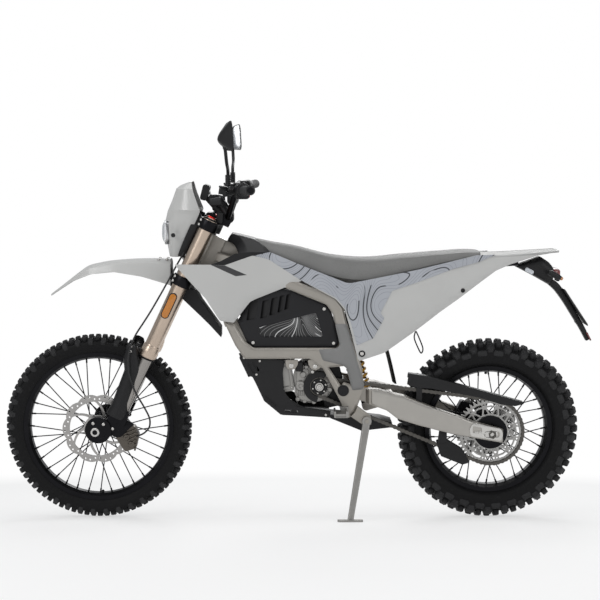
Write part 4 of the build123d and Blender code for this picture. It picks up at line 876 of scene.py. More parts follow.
def tyre(wheel, centre, radius, width, rim_r, rim_half, block_rise, pitches, rows, lug):
    """A wheel's tyre as two pieces: its carcass, turned from a half profile and its mirror, and its tread.

    The blocks stand square to a dome, an arc that spans 0.86 of the tyre's width and falls by 0.17 of it.
    A row is (first pitch, pitches between blocks, places across the dome, block's length, width and height),
    and `lug` is the length and width of the side walls' lugs, and their height over the wall's middle."""
    half, flange = width / 2, rim_r + 24.3
    edge, fall = half * 0.86, width * 0.17
    dome = (edge**2 + fall**2) / (2 * fall)
    reach = math.asin(edge / dome)
    crown = np.linspace(0, reach, 7)
    low = dome - block_rise - 0.8
    between = np.column_stack([low * np.sin(crown), radius - dome + low * np.cos(crown)])
    middle = (flange + radius) / 2
    wall = line([
        between[-1], (half - 4.6, middle + 8), (half - 4.2, middle - 8), (half - 9, flange + 12),
        (rim_half + 1, flange + 0.6),
    ], 16)
    rim_rib = 0.7 * np.exp(-(((wall[:, 1] - flange - 9) / 2.2) ** 2))
    wall_rib = 0.5 * np.exp(-(((wall[:, 1] - middle + 2) / 1.6) ** 2))
    wall[:, 0] += rim_rib + wall_rib
    bead = np.array([(rim_half - 4.3, flange), (rim_half - 4.3, rim_r + 11.3)])
    right = np.concatenate([between[:-1], wall, bead])
    carcass = turned(np.concatenate([right, (right * [-1, 1])[::-1][:-1]]), centre, 180)
    blocks = []
    for first, every, places, length, across, tall in rows:
        out, along = round_wheel(2 * math.pi * np.arange(first, pitches, every) / pitches)
        foot = dome - tall
        for lean in np.multiply(places, reach):
            normal = out * math.cos(lean) + ACROSS * math.sin(lean)
            origins = centre + ACROSS * foot * math.sin(lean) + out * (radius - dome + foot * math.cos(lean))
            axes = np.stack([along, np.cross(normal, along), normal], 1)
            blocks.append(copies(knob(length, across, tall), origins, axes))
    lug_length, lug_width, lug_height = lug
    out, along = round_wheel(2 * math.pi * np.arange(0, pitches, 2) / pitches)
    for hand in (-1, 1):
        normal = np.broadcast_to(hand * ACROSS, out.shape)
        origins = centre + hand * (half - 5.6) * ACROSS + (middle + lug_height) * out
        axes = np.stack([along, np.cross(normal, along), normal], 1)
        blocks.append(copies(knob(lug_length, lug_width, LUG_RISE), origins, axes))
    piece(f"{wheel}_carcass", carcass, rubber, f"{wheel}_wheel", (f"{wheel}_tyre",), angle=38)
    # the tread's rubber is painted lighter than the carcass's, as painted light on the knobs
    piece(f"{wheel}_tread", join(*blocks), block_rubber_with_painted_light, f"{wheel}_wheel", angle=38)


front_rows = (
    (0, 2, (-0.24, 0.24), 18, 13, 13), (1, 2, (0.0,), 18, 17, 13), (1, 2, (-0.6, 0.6), 19, 14, 13),
    (0, 2, (-1.1, 1.1), 21, 25, 11),
)
rear_rows = (
    (0, 2, (-0.2, 0.2), 22, 19, 15), (1, 2, (-0.42, 0.0, 0.42), 21, 17, 15),
    (0, 2, (-0.66, 0.66), 23, 18, 15), (1, 2, (-1.08, 1.08), 31, 32, 13),
)
tyre("front", FRONT_AXLE, FRONT_R, 86, 257, 28, 13, 84, front_rows, (22, 12, 9))
tyre("rear", REAR_AXLE, REAR_R, 118, 215, 36, 15, 60, rear_rows, (38, 22, 1))

# ---------------------------------------------------------------- body panels
FRAME_OUT = 124.0


def side_surface(levels):
    """Left side surface: cubic along x at each of three heights, then a parabola through them upward."""
    (low, _), (middle, _), (high, _) = levels
    below, between, above = [through(*zip(*stations)) for _, stations in levels]

    def depth(x, z):
        return -FRAME_OUT - (
            below(x) * (z - middle) * (z - high) / ((low - middle) * (low - high))
            + between(x) * (z - low) * (z - high) / ((middle - low) * (middle - high))
            + above(x) * (z - low) * (z - middle) / ((high - low) * (high - middle))
        )

    return depth


shroud_side = side_surface([
    (735, [(285, 33), (400, 32), (500, 23), (600, 11), (775, 4.5)]),
    (900, [(285, 42), (400, 42), (500, 32), (600, 18), (775, 3.8)]),
    (1030, [(285, 34), (400, 33), (500, 19), (600, -2), (775, -12)]),
])
rear_side = side_surface([
    (600, [(740, 4), (900, 4), (1050, 6), (1300, -12), (1500, -38), (1725, -74)]),
    (850, [(740, 4), (900, 12), (1050, 17), (1300, 0), (1500, -25), (1725, -64)]),
    (1025, [(740, -5), (900, 3), (1050, 7), (1300, -10), (1500, -32), (1725, -68)]),
])
shroud_foot = [(463, 764), (512, 756), (572, 833), (598, 845), (760, 908)]
shroud_outline = [
    (299, 971), (428, 970), (481, 967), (581, 1001), (640, 986), (760, 908), (598, 845), (572, 833),
    (512, 756), (463, 764), (411, 848), (367, 895),
]
accent_outline = [
    (428, 969.5), (481, 967.5), (581, 1001.5), (642, 1013), (560, 1013), (517, 1008), (463, 981),
]
film_outline = [
    (590, 1001), (643, 1013.5), (754, 967), (922, 902), (939, 901), (1174, 948), (1400, 1000.5), (1472, 1003),
    (1410, 977), (1311, 951), (1173, 901), (1089, 873), (1047, 792), (1061, 773), (1022, 699), (962, 672),
    (938, 760), (917, 812), (884, 848), (762, 908),
]
rear_outline = [
    (764, 906), (820, 941), (922, 901), (939, 900), (1174, 947), (1400, 1001), (1489, 1000), (1712, 1015),
    (1712, 1010), (1631, 997), (1526, 965), (1473, 943), (1417, 902), (1339, 844), (1265, 792), (1173, 722),
    (1064, 644), (968, 611), (943, 712), (917, 804), (884, 842),
]
rear_foot = [(1712, 1010), (1526, 965), (1417, 902), (1265, 792), (1173, 722), (1064, 644), (968, 611)]
fold = [(1310, 960), (1262, 830)]


def shroud_depth(x, z):
    """The side surface, turned in by a flat facet along the lower rear edge."""
    facet = np.clip(1 - from_line(x, z, shroud_foot) / 16.0, 0, 1)
    return shroud_side(x, z) + 7.0 * facet


def film_depth(x, z):
    """Shroud surface ahead and rear surface behind, blended where they meet, just under the shroud's edge."""
    share = step(x, 690.0, 800.0)
    return shroud_side(x, z) * (1 - share) + rear_side(x, z) * share + 1.4 * (1 - step(x, 740.0, 900.0))


def rear_depth(x, z):
    """Rear surface a panel's thickness lower, with a soft fold and its lower edge rolled in."""
    rolled = np.clip(1 - from_line(x, z, rear_foot) / 30.0, 0, 1) ** 2
    (top_x, top_z), (low_x, low_z) = fold
    behind = (x - low_x) - (z - low_z) * (top_x - low_x) / (top_z - low_z)
    crease = 2.6 * step(behind, -16.0, 16.0) * step(1700.0 - x, 0.0, 180.0)
    return film_depth(x, z) + 1.8 + 5.0 * rolled + crease


shroud_skin = skin(softened(shroud_outline, 5, 3), shroud_depth, 14, (2.0, 14.0))
accent_skin = skin(accent_outline, lambda x, z: shroud_side(x, z) + 0.4, 12, (2.0,))
rear_skin = skin(softened(rear_outline, 5, 3), rear_depth, 14, (2.0, 8.0))
film_skin = skin(softened(film_outline, 4, 3), film_depth, 14, (1.5,))
piece("shroud_skins", both(shroud_skin), shroud_plastic, "frame", ("side_shrouds",),
      wall=3.2, bevel=0.9)
piece("shroud_accents", both(accent_skin), black_plastic, "frame", wall=3.0, bevel=0.7)
piece("rear_skins", both(rear_skin), grey_plastic, "frame", ("rear_bodywork",),
      wall=3.0, bevel=0.8)
piece("film_panels", both(film_skin), graphic_plastic, "frame", wall=2.2, bevel=1.1)

# the deck behind the seat: level across with its edges rolled down and a low ridge along the middle, in panel
# grey painted darker as painted shade on its top
deck_x = np.linspace(1402, 1711, 34)
deck_half = through([1400, 1425, 1500, 1620, 1712], [106, 103, 92.5, 75, 56])(deck_x) - 2.0
deck_top = np.interp(deck_x, [1400, 1489, 1712], [1000, 999, 1014.0])
across = np.linspace(-1, 1, 25)
deck_y = deck_half[:, None] * across
deck_z = deck_top[:, None] + 1.2 - 5.0 * np.abs(across) ** 6 + 1.2 * np.exp(-((deck_y / 16) ** 2))
piece("rear_deck", grid(surface(deck_x[:, None], deck_y, deck_z)), deck_plastic_with_painted_shade, "frame",
      wall=3.6, bevel=0.8)

# the tank cover: from a foot on each shroud up to a ridge, then level over the middle
ridge = np.array([        # x, z and half width
    (486, 1046, 47), (490, 1058, 49), (503, 1075, 50), (540, 1067, 54), (580, 1057, 58), (600, 1047, 60),
    (641, 1014, 64),
])
back = np.linspace(0, 1, 28)
ridge_x, ridge_z, ridge_half = (
    np.interp(back, np.linspace(0, 1, len(ridge)), column)[:, None] for column in ridge.T
)
foot_x = np.interp(back, [0, 1], [534, 642])[:, None]
foot_z = np.interp(back, [0, 0.3, 1], [1000, 1004, 999])[:, None]
foot_half = -(shroud_side(foot_x, foot_z) + 3.0)
FLANK = 0.8               # share of the rows that climb to the ridge
up = np.linspace(0, 1, 12)
climb = np.clip(up / FLANK, 0, 1)
half = surface(
    ridge_x + (foot_x - ridge_x) * (1 - climb) ** 0.5,
    -(foot_half * (1 - climb) + ridge_half * climb) * np.where(up < FLANK, 1, (1 - up) / (1 - FLANK)),
    foot_z * (1 - climb) + ridge_z * climb + 4.0 * np.sin(math.pi * up) ** 2,
)
piece("tank_cover", grid(whole(half)), black_plastic, "frame", ("tank_covers",),
      wall=3.0, bevel=0.8, levels=1)

gusset_line = [(436, 1052), (498, 1046), (556, 1022), (566, 988), (470, 984), (448, 1000)]
gusset = side_plate([softened(gusset_line, 8, 4)], 0, 44, 3.0)
piece("head_gusset", gusset, frame_paint, "frame", angle=30)

# ---------------------------------------------------------------- battery covers
cover_outline = [
    (524, 760), (574, 835), (640, 890), (726, 868), (848, 818), (870, 787), (883, 745), (897, 684),
    (888, 663), (586, 663), (556, 688),
]
tray_outline = softened([(597, 735), (812, 791), (838, 703), (612, 700)], 9, 4)
louvres = [               # left, right, low and high
    (558, 592, 762, 832), (608, 634, 768, 837), (641, 664, 779, 846), (671, 690, 790, 854),
    (696, 712, 800, 860),
]
COVER_Y = -FRAME_OUT + 4.0


def louvre_hole(left, right, low, high):
    """Slanted slot with eased corners."""
    return softened([(left, low), (right, low + 6), (right + 9, high + 3), (left + 9, high - 3)], 3, 3)


def cover_depth(x, z):
    """Flat face whose edge is turned in by a broad chamfer."""
    return COVER_Y + 5.0 * np.clip(1 - from_outline(x, z, cover_outline) / 9.0, 0, 1)


cover_holes = [tray_outline, *(louvre_hole(*louvre) for louvre in louvres)]
cover_face = skin(softened(cover_outline, 6, 3), cover_depth, 16, (1.5, 7.5), cover_holes)
piece("battery_cover_faces", both(cover_face), battery_plastic, "frame", ("battery_covers",),
      wall=3.0, bevel=0.8)


def tray(outline, deep, inset):
    """Sunk floor: the outline at the face, then drawn in to a flat floor behind it."""
    outline = np.asarray(outline, float)
    middle = outline.mean(0)
    reach = np.linalg.norm(outline - middle, axis=1, keepdims=True)
    floor_line = middle + (outline - middle) * (1 - inset / reach)
    rings = np.stack([
        at_depth(outline, COVER_Y + 1.0), at_depth(floor_line, COVER_Y + deep - 1.5),
        at_depth(floor_line, COVER_Y + deep),
    ])
    points, faces = grid(rings, columns_meet=True)
    last = 2 * len(outline)
    return points, faces + [np.arange(last, last + len(outline))[None, :]]


print_tray = tray(tray_outline, 9.0, 7.0)
piece("battery_print_trays", both(print_tray), print_plastic, "frame", angle=20)


def slat(left, right, low, high):
    """Blade behind a louvre: it slopes inward to the front, and its rings climb with the slot's slant."""
    plan = np.array([
        (left - 5, COVER_Y + 15), (right + 3, COVER_Y + 2.5), (right + 3, COVER_Y + 5),
        (left - 5, COVER_Y + 17.5),
    ])
    return capped(np.stack([
        np.column_stack([plan[:, 0] + 9 * share, plan[:, 1], np.full(4, low - 6 + (high - low + 12) * share)])
        for share in np.linspace(0, 1, 4)
    ]))


slats = join(*(slat(*louvre) for louvre in louvres))
piece("battery_louvres", both(slats), black_plastic, "frame", bevel=0.5)


def bolt(centre, radius=6.0, axis=LEFTWARD, proud=4.0):
    """Round-headed socket screw: a domed rim that turns into a round socket."""
    shares = ((0.0, 1.0), (0.5, 1.0), (0.85, 0.84), (1.0, 0.66), (1.0, 0.46), (0.35, 0.42))
    head = [(tall * proud, wide * radius) for tall, wide in shares]
    return boss([(-3.0, 0.96 * radius), *head], centre, 20, axis)


def nut(centre, radius=8.0, axis=LEFTWARD, proud=6.0):
    """Hexagon head with chamfered corners."""
    return boss([(-2.0, radius), (0.75 * proud, radius), (proud, 0.84 * radius)], centre, 6, axis)


# ---------------------------------------------------------------- seat
SEAT_FRONT, SEAT_BACK = 590, 1419
seat_sections = np.array([  # x, lower edge, top, half width low down and at the top
    (590, 1015, 1056, 58, 36), (640, 1004, 1045, 78, 50), (736, 968, 1028, 96, 62), (865, 921, 996, 114, 78),
    (980, 905, 985, 120, 92), (1142, 938, 996, 120, 102), (1290, 974, 1007, 112, 98),
    (1400, 997, 1011.5, 100, 88), (1419, 1000, 1010.5, 96, 82),
])
seat_x = np.concatenate([
    SEAT_FRONT + 10 * np.linspace(0, 1, 5) ** 2, np.linspace(606, 1404, 84),
    SEAT_BACK - 12 * np.linspace(1, 0, 5) ** 2,
])[:, None]
low, high, wide, narrow = through(seat_sections[:, 0], seat_sections[:, 1:])(seat_x[:, 0]).T[..., None]
ease = 0.62 + 0.38 * rounded_edge(np.minimum(seat_x - SEAT_FRONT, SEAT_BACK - seat_x), 12)
lap = np.linspace(0, 1, 29)         # from the lower edge up the side and over to the middle
flank = step(lap, 0.0, 0.62)
crown = step(lap, 0.42, 1.0)
climb = np.clip(lap / 0.5, 0, 1)
reach = (wide * (1 - flank) + narrow * flank) * np.cos(crown * math.pi / 2) ** 0.34
height = low + (high - low) * climb**0.9 * (1 - 0.12 * (1 - crown))
side_crown = 2.6 * np.sin(math.pi * climb)
seam = 1.1 * np.exp(-(((lap - 0.47) / 0.012) ** 2)) * step(seat_x, 600, 640)
wrinkle = 0.5 * np.sin(seat_x / 23.0) * np.sin(seat_x / 61.0 + 5 * lap + 1.0) * np.sin(math.pi * lap)
half = surface(seat_x, -(reach + side_crown) * ease, height - seam + wrinkle)
under = surface(seat_x, 0.0, low)
seat_cover = capped(np.concatenate([whole(half), under], 1))
seat = piece("seat_cover", seat_cover, vinyl, "frame", ("seat",), angle=50, levels=1)

# ---------------------------------------------------------------- headlight cowl and lamp
LAMP_Z = 1080.0
cowl_z = np.array([
    990, 1000, 1020, 1038, 1122, 1140, 1156, 1160, 1164, 1180, 1200, 1220, 1240, 1252, 1262, 1266,
])
cowl_front = np.interp(cowl_z, [990, 1040, 1120, 1158, 1200, 1247, 1267], [271, 262, 256, 265, 283, 300, 352])
cowl_rear = np.interp(cowl_z, [990, 1056, 1149, 1161, 1232, 1267], [310, 341, 387, 390, 364, 357])
cowl_half = np.interp(
    cowl_z, [985, 1040, 1120, 1156, 1164, 1240, 1258, 1270], [62, 78, 106, 113, 117.5, 97, 82, 58]
)
# each row goes round the front from the left: ahead by cos ** 0.62 and across by sin ** 0.8
sweep = np.linspace(-1, 1, 45) * math.pi / 2
mask = surface(
    cowl_rear[:, None] - (cowl_rear - cowl_front)[:, None] * np.cos(sweep) ** 0.62,
    cowl_half[:, None] * np.sign(np.sin(sweep)) * np.abs(np.sin(sweep)) ** 0.8,
    cowl_z[:, None],
)
LAMP_ROW, CHEEK = 3, 14   # the row under the lamp opening, and the columns of the cheeks on either side of it
below, above = mask[LAMP_ROW], mask[LAMP_ROW + 1]
beside = np.stack([below * (1 - share) + above * share for share in (0.0, 0.25, 0.5, 0.75, 1.0)])
cowl = join(
    grid(mask[:LAMP_ROW + 1]), grid(mask[LAMP_ROW + 1:]), grid(beside[:, :CHEEK]), grid(beside[:, -CHEEK:])
)
piece("headlight_mask", cowl, grey_plastic, "steering", ("headlight_cowl",),
      wall=3.2, bevel=0.9, angle=24)


def lamp_patch(half_y, half_z, front, back):
    """Bulged cover of the lamp opening: a rounded rectangle whose middle stands ahead of its rim."""
    u, v = np.meshgrid(np.linspace(-1, 1, 15), np.linspace(-1, 1, 15))
    squeeze = 1 - 0.16 * u**2 * v**2
    bulge = (1 - np.abs(u) ** 3) * (1 - np.abs(v) ** 3)
    return surface(back - (back - front) * bulge**0.6, half_y * u * squeeze, LAMP_Z + half_z * v * squeeze)


lens_cover = grid(lamp_patch(57.5, 41.5, 245, 259)[::-1])
piece("headlight_lens", lens_cover, clear_lens, "steering", wall=1.6, levels=1)
bowl_steps = ((264, 1.04), (258, 1.04), (256.5, 1.0), (262, 0.94), (300, 0.8), (304, 0.0))
bowl_rings = facing_rings(rounded(116, 84, 22, 7), LAMP_Z, [(x, size, size) for x, size in bowl_steps])
bowl = grid(bowl_rings, columns_meet=True)
piece("headlight_bowl", bowl, bowl_chrome, "steering", ("headlight_lamp",), wall=-2.0)
bulb = [(-2, 17), (6, 17), (7, 14), (12, 9), (14, 3)]
bulbs = [boss(bulb, (296, y, LAMP_Z), 24, (-1, 0, 0)) for y in (-24, 24)]
piece("headlight_bulbs", join(*bulbs), mirror_glass, "steering")
knob_profile = [(-6, 6), (3, 6), (5, 8), (10, 8), (12, 6)]
strap_knobs = [boss(knob_profile, (292, hand * 104, 1073), 18, (0, hand, 0)) for hand in (-1, 1)]
strap_route = [(386, -100, 1150), (362, -99, 1096), (341, -88, 1050), (322, -80, 1004), (318, -78, 992)]
strap = swept(line(strap_route, 16), rounded(6, 26, 2, 3), (1, 0, 0))
straps = join(*strap_knobs, both(strap))
piece("headlight_straps", straps, black_plastic, "steering", bevel=0.5)

# ---------------------------------------------------------------- front fender
fender_x = np.concatenate([[-171, -169, -165, -158], np.linspace(-148, 277, 44)])
ridge = through([-171, -110, -60, -36, 11, 114, 200, 278], [848, 895, 934, 950.5, 964, 977, 980.5, 981])
ridge = ridge(fender_x)
brim = np.interp(fender_x, [-171, -82, -15, 70, 172, 278], [843, 901, 927, 935, 918, 886])
brim = np.minimum(brim, ridge - 6.0)
plan = np.interp(fender_x, [-171, -169, -165, -158, -148, -120, 0, 278], [17, 25, 31, 36, 40, 51, 69, 73.6])
# a shallow curve out to the shoulder, from which the sides turn down to the brim
SHOULDER = 0.62
share = np.linspace(-1, 1, 37)
size = np.abs(share)
past = np.maximum((size - SHOULDER) / (1 - SHOULDER), 0)
out = np.where(size < SHOULDER, 0.84 * size / SHOULDER, 0.84 + 0.16 * past)
drop = np.where(size < SHOULDER, 0.2 * (size / SHOULDER) ** 2, 0.2 + 0.8 * past**0.92)
fender = surface(
    fender_x[:, None], plan[:, None] * out * np.sign(share), ridge[:, None] - (ridge - brim)[:, None] * drop
)
piece("front_fender_skin", grid(fender), grey_plastic, "steering", ("front_fender",),
      wall=2.6, bevel=0.6, angle=24)
fender_bolts = [bolt((x, y, 979), 5.5, (0, 0, 1), 3.0) for x in (232, 262) for y in (34, -34)]

# ---------------------------------------------------------------- fork
FORK_Y = 105.0
FORK_AHEAD = 24.0         # fork legs ahead of the steering axis


def around_fork(profile, closed=True):
    """Profile of (along, radius) turned about the left fork leg, along it from the lower clamp."""
    return turned(profile, on_fork(-FORK_AHEAD, 0.0, -FORK_Y), 48, FORK_UP, closed)


collar = around_fork([
    (-308, 27.8), (-308, 31), (-304, 33), (-282, 33), (-276, 31.5), (-266, 31), (-260, 28.4), (-258, 27.8),
])
piece("fork_collars", both(collar), champagne, "steering", angle=30)
wiper = around_fork([(-316, 23.6), (-316, 27), (-309, 29.5), (-307, 29.5), (-307, 23.6)])
piece("fork_wipers", both(wiper), rubber, "steering", angle=30)
stanchion = around_fork([(-521, 22.8), (-521, 24.1), (-316, 24.1), (-316, 22.8)])
piece("fork_stanchions", both(stanchion), stanchion_chrome, "steering")
cap = around_fork([(243, 26), (250, 26), (252, 24), (252, 17)], closed=False)
piece("fork_caps", both(cap), black_alloy, "steering", bevel=0.4)
adjuster = boss([(0, 15), (6, 15), (8.5, 12.5), (8.5, 7)], on_fork(-FORK_AHEAD, 252, -FORK_Y), 12, FORK_UP)
piece("fork_adjusters", both(adjuster), red_alloy, "steering", bevel=0.5, angle=20)


def on_reflector(width, height, wall, edge, y):
    """Plate with round ends beside the fork leg, in line with it, its middle at y."""
    plate = sheet_cut([rounded(width, height, height / 2 - 0.2)], wall, edge)
    return laid(plate, on_fork(-28.7, -98.6, y), FORK_UP, FORK_BACK)


rim = on_reflector(101, 31, 5.0, 1.2, -134.6)
amber = on_reflector(94, 24, 4.0, 1.4, -137.4)
piece("reflector_rims", both(rim), black_plastic, "steering")
piece("reflectors", both(amber), amber_lens, "steering")

# fork guards: bent round the leg from edge to edge, with a rib down the middle
guard_along = np.linspace(-288, -560, 34)[:, None]
guard_front = np.interp(guard_along, [-575, -521, -386, -347, -299, -284], [-76, -70, -80, -103, -107, -100])
guard_rear = np.interp(guard_along, [-575, -537, -493, -364, -310, -284], [-6, 2, -10, -19, -54, -72])
guard_out = np.interp(guard_along, [-560, -480, -330, -288], [36, 35, 33, 29])
wrap = np.linspace(-1, 1, 19) * math.radians(86)
guard_back = (guard_front + guard_rear) / 2 + (guard_rear - guard_front) / 2 * np.sin(wrap)
guard_y = -102.0 - guard_out * np.cos(wrap) ** 0.7 - 1.6 * np.exp(-(((np.sin(wrap) + 0.1) / 0.14) ** 2))
guard = on_fork(guard_back[..., None], guard_along[..., None], guard_y[..., None])
piece("fork_guard_shells", both(grid(guard)), guard_black, "steering", ("fork_guards",),
      wall=3.4, bevel=0.8)

lug = boss([(0, 49), (6, 49), (8.5, 46.5), (8.5, 32), (7, 30), (7, 20)], (12, -127, 356), 64)
axle_ring = turned([(0, 9.3), (0, 17), (5, 17), (7, 15), (7, 9.3)], (0, -129, FRONT_R), 40, LEFTWARD)
piece("fork_lugs", both(lug), black_alloy, "steering", bevel=0.4)
piece("front_axle_ends", both(axle_ring), machined, "steering", bevel=0.4)
lug_bolts = [
    bolt((-6, -134.5, 382)), bolt((32, -134.5, 379)), bolt((64, -127, 361)), bolt((104, -88, 372), 7.0),
]
guard_bolts = [bolt(on_fork(back, along, -131), 5.0) for back, along in ((-92, -294), (-86, -311))]
clamp_bolts = [bolt(on_fork(-54, along, -FORK_Y - 20), 5.0, -FORK_BACK) for along in (-9, 9, 217, 235)]
fork_bolts = join(*lug_bolts, *guard_bolts, *clamp_bolts, *fender_bolts)
piece("fork_bolts", both(fork_bolts), machined, "steering", angle=30)

rib_ends = [[(96 + 9 * k, -84, 330 - 12 * k), (150 - 1.5 * k, -84, 352 - 14 * k)] for k in range(6)]
caliper_ribs = [swept(ends, rounded(6, 14, 1.8, 3), ALONG_Y) for ends in rib_ends]
caliper_bolts = [boss([(0, 12), (7, 12), (9, 9), (9, 5)], (x, -82, z)) for x, z in ((110, 320), (128, 292))]
piece("caliper_ribs", join(*caliper_ribs, *caliper_bolts), bronze_alloy, "steering", bevel=0.6)
bracket_line = [(40, 386), (104, 392), (142, 372), (120, 352), (92, 322), (70, 320), (44, 336)]
bracket = side_plate([softened(bracket_line, 10, 4)], -90, 9, 1.0)
piece("caliper_bracket", bracket, black_alloy, "steering")

# ---------------------------------------------------------------- wheels' small parts
valve = [(0, 6), (4, 6), (5, 4.2), (16, 4.2), (17, 5.2), (32, 5.2), (34, 3)]
front_valve = boss(valve, (10, 0, 66), 14, (0, 0, 1))
rear_valve = boss(valve, (WHEELBASE - 9, 0, 578), 14, (0, 0, -1))
piece("front_valve", front_valve, black_plastic, "front_wheel")
piece("rear_valve", rear_valve, black_plastic, "rear_wheel")

# ---------------------------------------------------------------- chain
CHAIN_Y = -80.0
PITCH = 15.875
DRIVE = np.array([826.0, 511.0])
DRIVEN = np.array([WHEELBASE, REAR_R])
DRIVE_TEETH, DRIVEN_TEETH = 13, 48
drive_r, driven_r = (PITCH / (2 * math.sin(math.pi / teeth)) for teeth in (DRIVE_TEETH, DRIVEN_TEETH))
# the loop: an arc round each sprocket, joined by the two straight runs that touch both
run = DRIVEN - DRIVE
tilt = math.atan2(run[1], run[0])
lean = math.acos(-(driven_r - drive_r) / float(np.linalg.norm(run)))
front_arc = np.linspace(tilt + lean, tilt - lean + 2 * math.pi, 300)
rear_arc = np.linspace(tilt - lean, tilt + lean, 900)
loop = np.concatenate([
    DRIVE + drive_r * np.stack([np.cos(front_arc), np.sin(front_arc)], -1),
    DRIVEN + driven_r * np.stack([np.cos(rear_arc), np.sin(rear_arc)], -1),
])
loop = np.concatenate([loop, loop[:1]])
length = np.concatenate([[0], np.cumsum(np.linalg.norm(np.diff(loop, axis=0), axis=1))])
links = 2 * round(length[-1] / PITCH / 2)
ends = np.arange(links + 1) * length[-1] / links
pins = np.stack([np.interp(ends, length, loop[:, k]) for k in (0, 1)], -1)
middles, ahead = (pins[:-1] + pins[1:]) / 2, unit(np.diff(pins, axis=0))
link_axes = np.zeros((links, 3, 3))
link_axes[:, 0, [0, 2]] = ahead
link_axes[:, 1, 1] = 1.0
link_axes[:, 2, 0], link_axes[:, 2, 2] = -ahead[:, 1], ahead[:, 0]
link_at = at_depth(middles, CHAIN_Y)
half_turn = np.linspace(-0.5, 0.5, 6) * math.pi
lobe = np.stack([PITCH / 2 + 7.0 * np.cos(half_turn), 7.0 * np.sin(half_turn)], -1)
bone = np.concatenate([lobe, [[0, 5.0]], -lobe, [[0, -5.0]]])


def link(inner, outer, pin_r, pin_end):
    """Two waisted side plates, `inner` to `outer` off the middle, and the pins or rollers between them."""
    plates = [
        capped(np.stack([at_depth(bone, y) for y in faces])) for faces in ((inner, outer), (-outer, -inner))
    ]
    pin = [(-pin_end, pin_r), (pin_end, pin_r)]
    return join(*plates, *(boss(pin, (x, 0, 0), 8, ALONG_Y) for x in (-PITCH / 2, PITCH / 2)))


chain = join(
    copies(link(3.6, 5.4, 5.0, 4.5), link_at[::2], link_axes[::2]),
    copies(link(5.7, 7.5, 2.8, 8.0), link_at[1::2], link_axes[1::2]),
)
piece("chain_links", chain, chain_metal, "frame", ("drive_chain",), angle=30)

# ---------------------------------------------------------------- rounded faces of the rails and arms
rail_line = softened([
    (476, 756), (517, 670), (550, 621), (789, 621), (839, 584), (910, 449), (895, 398), (937, 402),
    (958, 424), (972, 461), (991, 508), (981, 592), (923, 761), (911, 812), (883, 849), (640, 946),
    (628, 912), (850, 821), (873, 788), (885, 746),
    (901, 676), (890, 661), (584, 661), (551, 686), (513, 751)], 12, 5)
gap_line = softened([(859, 589), (925, 594), (946, 524), (915, 533), (905, 520)], 4, 3)


def rail_depth(x, z):
    """Round-edged rail: the quarter ellipse follows both the outline and the opening over the pivot."""
    room = np.minimum(from_outline(x, z, rail_line), -from_outline(x, z, gap_line))
    return -FRAME_OUT + 5.0 - 11.0 * rounded_edge(room, 14.0)


ROUND_ROWS = (0.5, 1.5, 3.2, 5.5, 8.5, 12.0)     # rows of points across a rounded edge
rail_face = skin(rail_line, rail_depth, 9, ROUND_ROWS, [gap_line])
piece("frame_rail_faces", both(rail_face), frame_paint, "frame", wall=1.0, angle=50)
arm_line = softened([
    (1016, 505), (1044, 503), (1086, 491), (1137, 480), (1231, 444), (1340, 407), (1395, 386), (1505, 356),
    (1505, 306),
    (1399, 325), (1320, 339), (1194, 372), (1115, 395), (1075, 426), (1016, 448)], 8, 4)


def arm_depth(x, z):
    """Round-edged arm: its face comes outward to the rear, and a quarter ellipse leads to its outline."""
    face = np.interp(x, [1010, 1110, 1240, 1520], [112, 112, 128, 128])
    return -face + 3.0 - 7.5 * rounded_edge(from_outline(x, z, arm_line), 12.0)


arm_skin = skin(arm_line, arm_depth, 9, ROUND_ROWS)
piece("swingarm_faces", both(arm_skin), arm_paint, "frame", wall=1.0, angle=50)

# ---------------------------------------------------------------- frame guards, skid panels and motor
guard_line = softened([
    (822, 656), (838, 615), (911, 597), (925, 587), (946, 504), (985, 508), (991, 524), (923, 751),
    (882, 751), (900, 672),
    (887, 660)], 7, 4)


def guard_depth(x, z):
    """Flat shell whose edge is rolled in over the frame rail."""
    return -129.5 - 8.0 * step(from_outline(x, z, guard_line), -1.0, 11.0) ** 0.7


guard_skin = skin(guard_line, guard_depth, 10, (1.5, 4, 7.5, 11))
piece("frame_guard_shells", both(guard_skin), guard_plastic, "frame", ("frame_guards",),
      wall=2.4, bevel=0.4)
skid_line = [
    (528, 640), (698, 612), (691, 566), (696, 494), (742, 440), (861, 420), (861, 400), (688, 408),
    (622, 466), (578, 552), (563, 552),
]


def slot_between(start, end):
    """Slot 9 wide with round ends about `start` and `end`."""
    start, run = np.array(start, float), np.subtract(end, start)
    turn = math.atan2(run[1], run[0])
    turning = np.array([[math.cos(turn), math.sin(turn)], [-math.sin(turn), math.cos(turn)]])
    return rounded(float(np.hypot(*run)) + 9, 9, 4.4, 5) @ turning + start + run / 2


slots = (
    ((566, 598), (584, 570)), ((582, 604), (600, 576)), ((630, 478), (664, 446)), ((702, 424), (744, 421)),
)
skid_cuts = [slot_between(*slot) for slot in slots]
skid_side = side_plate([softened(skid_line, 5, 4), *skid_cuts], -105.8, 3.0, 0.6)
piece("skid_sides", both(skid_side), black_plastic, "frame")

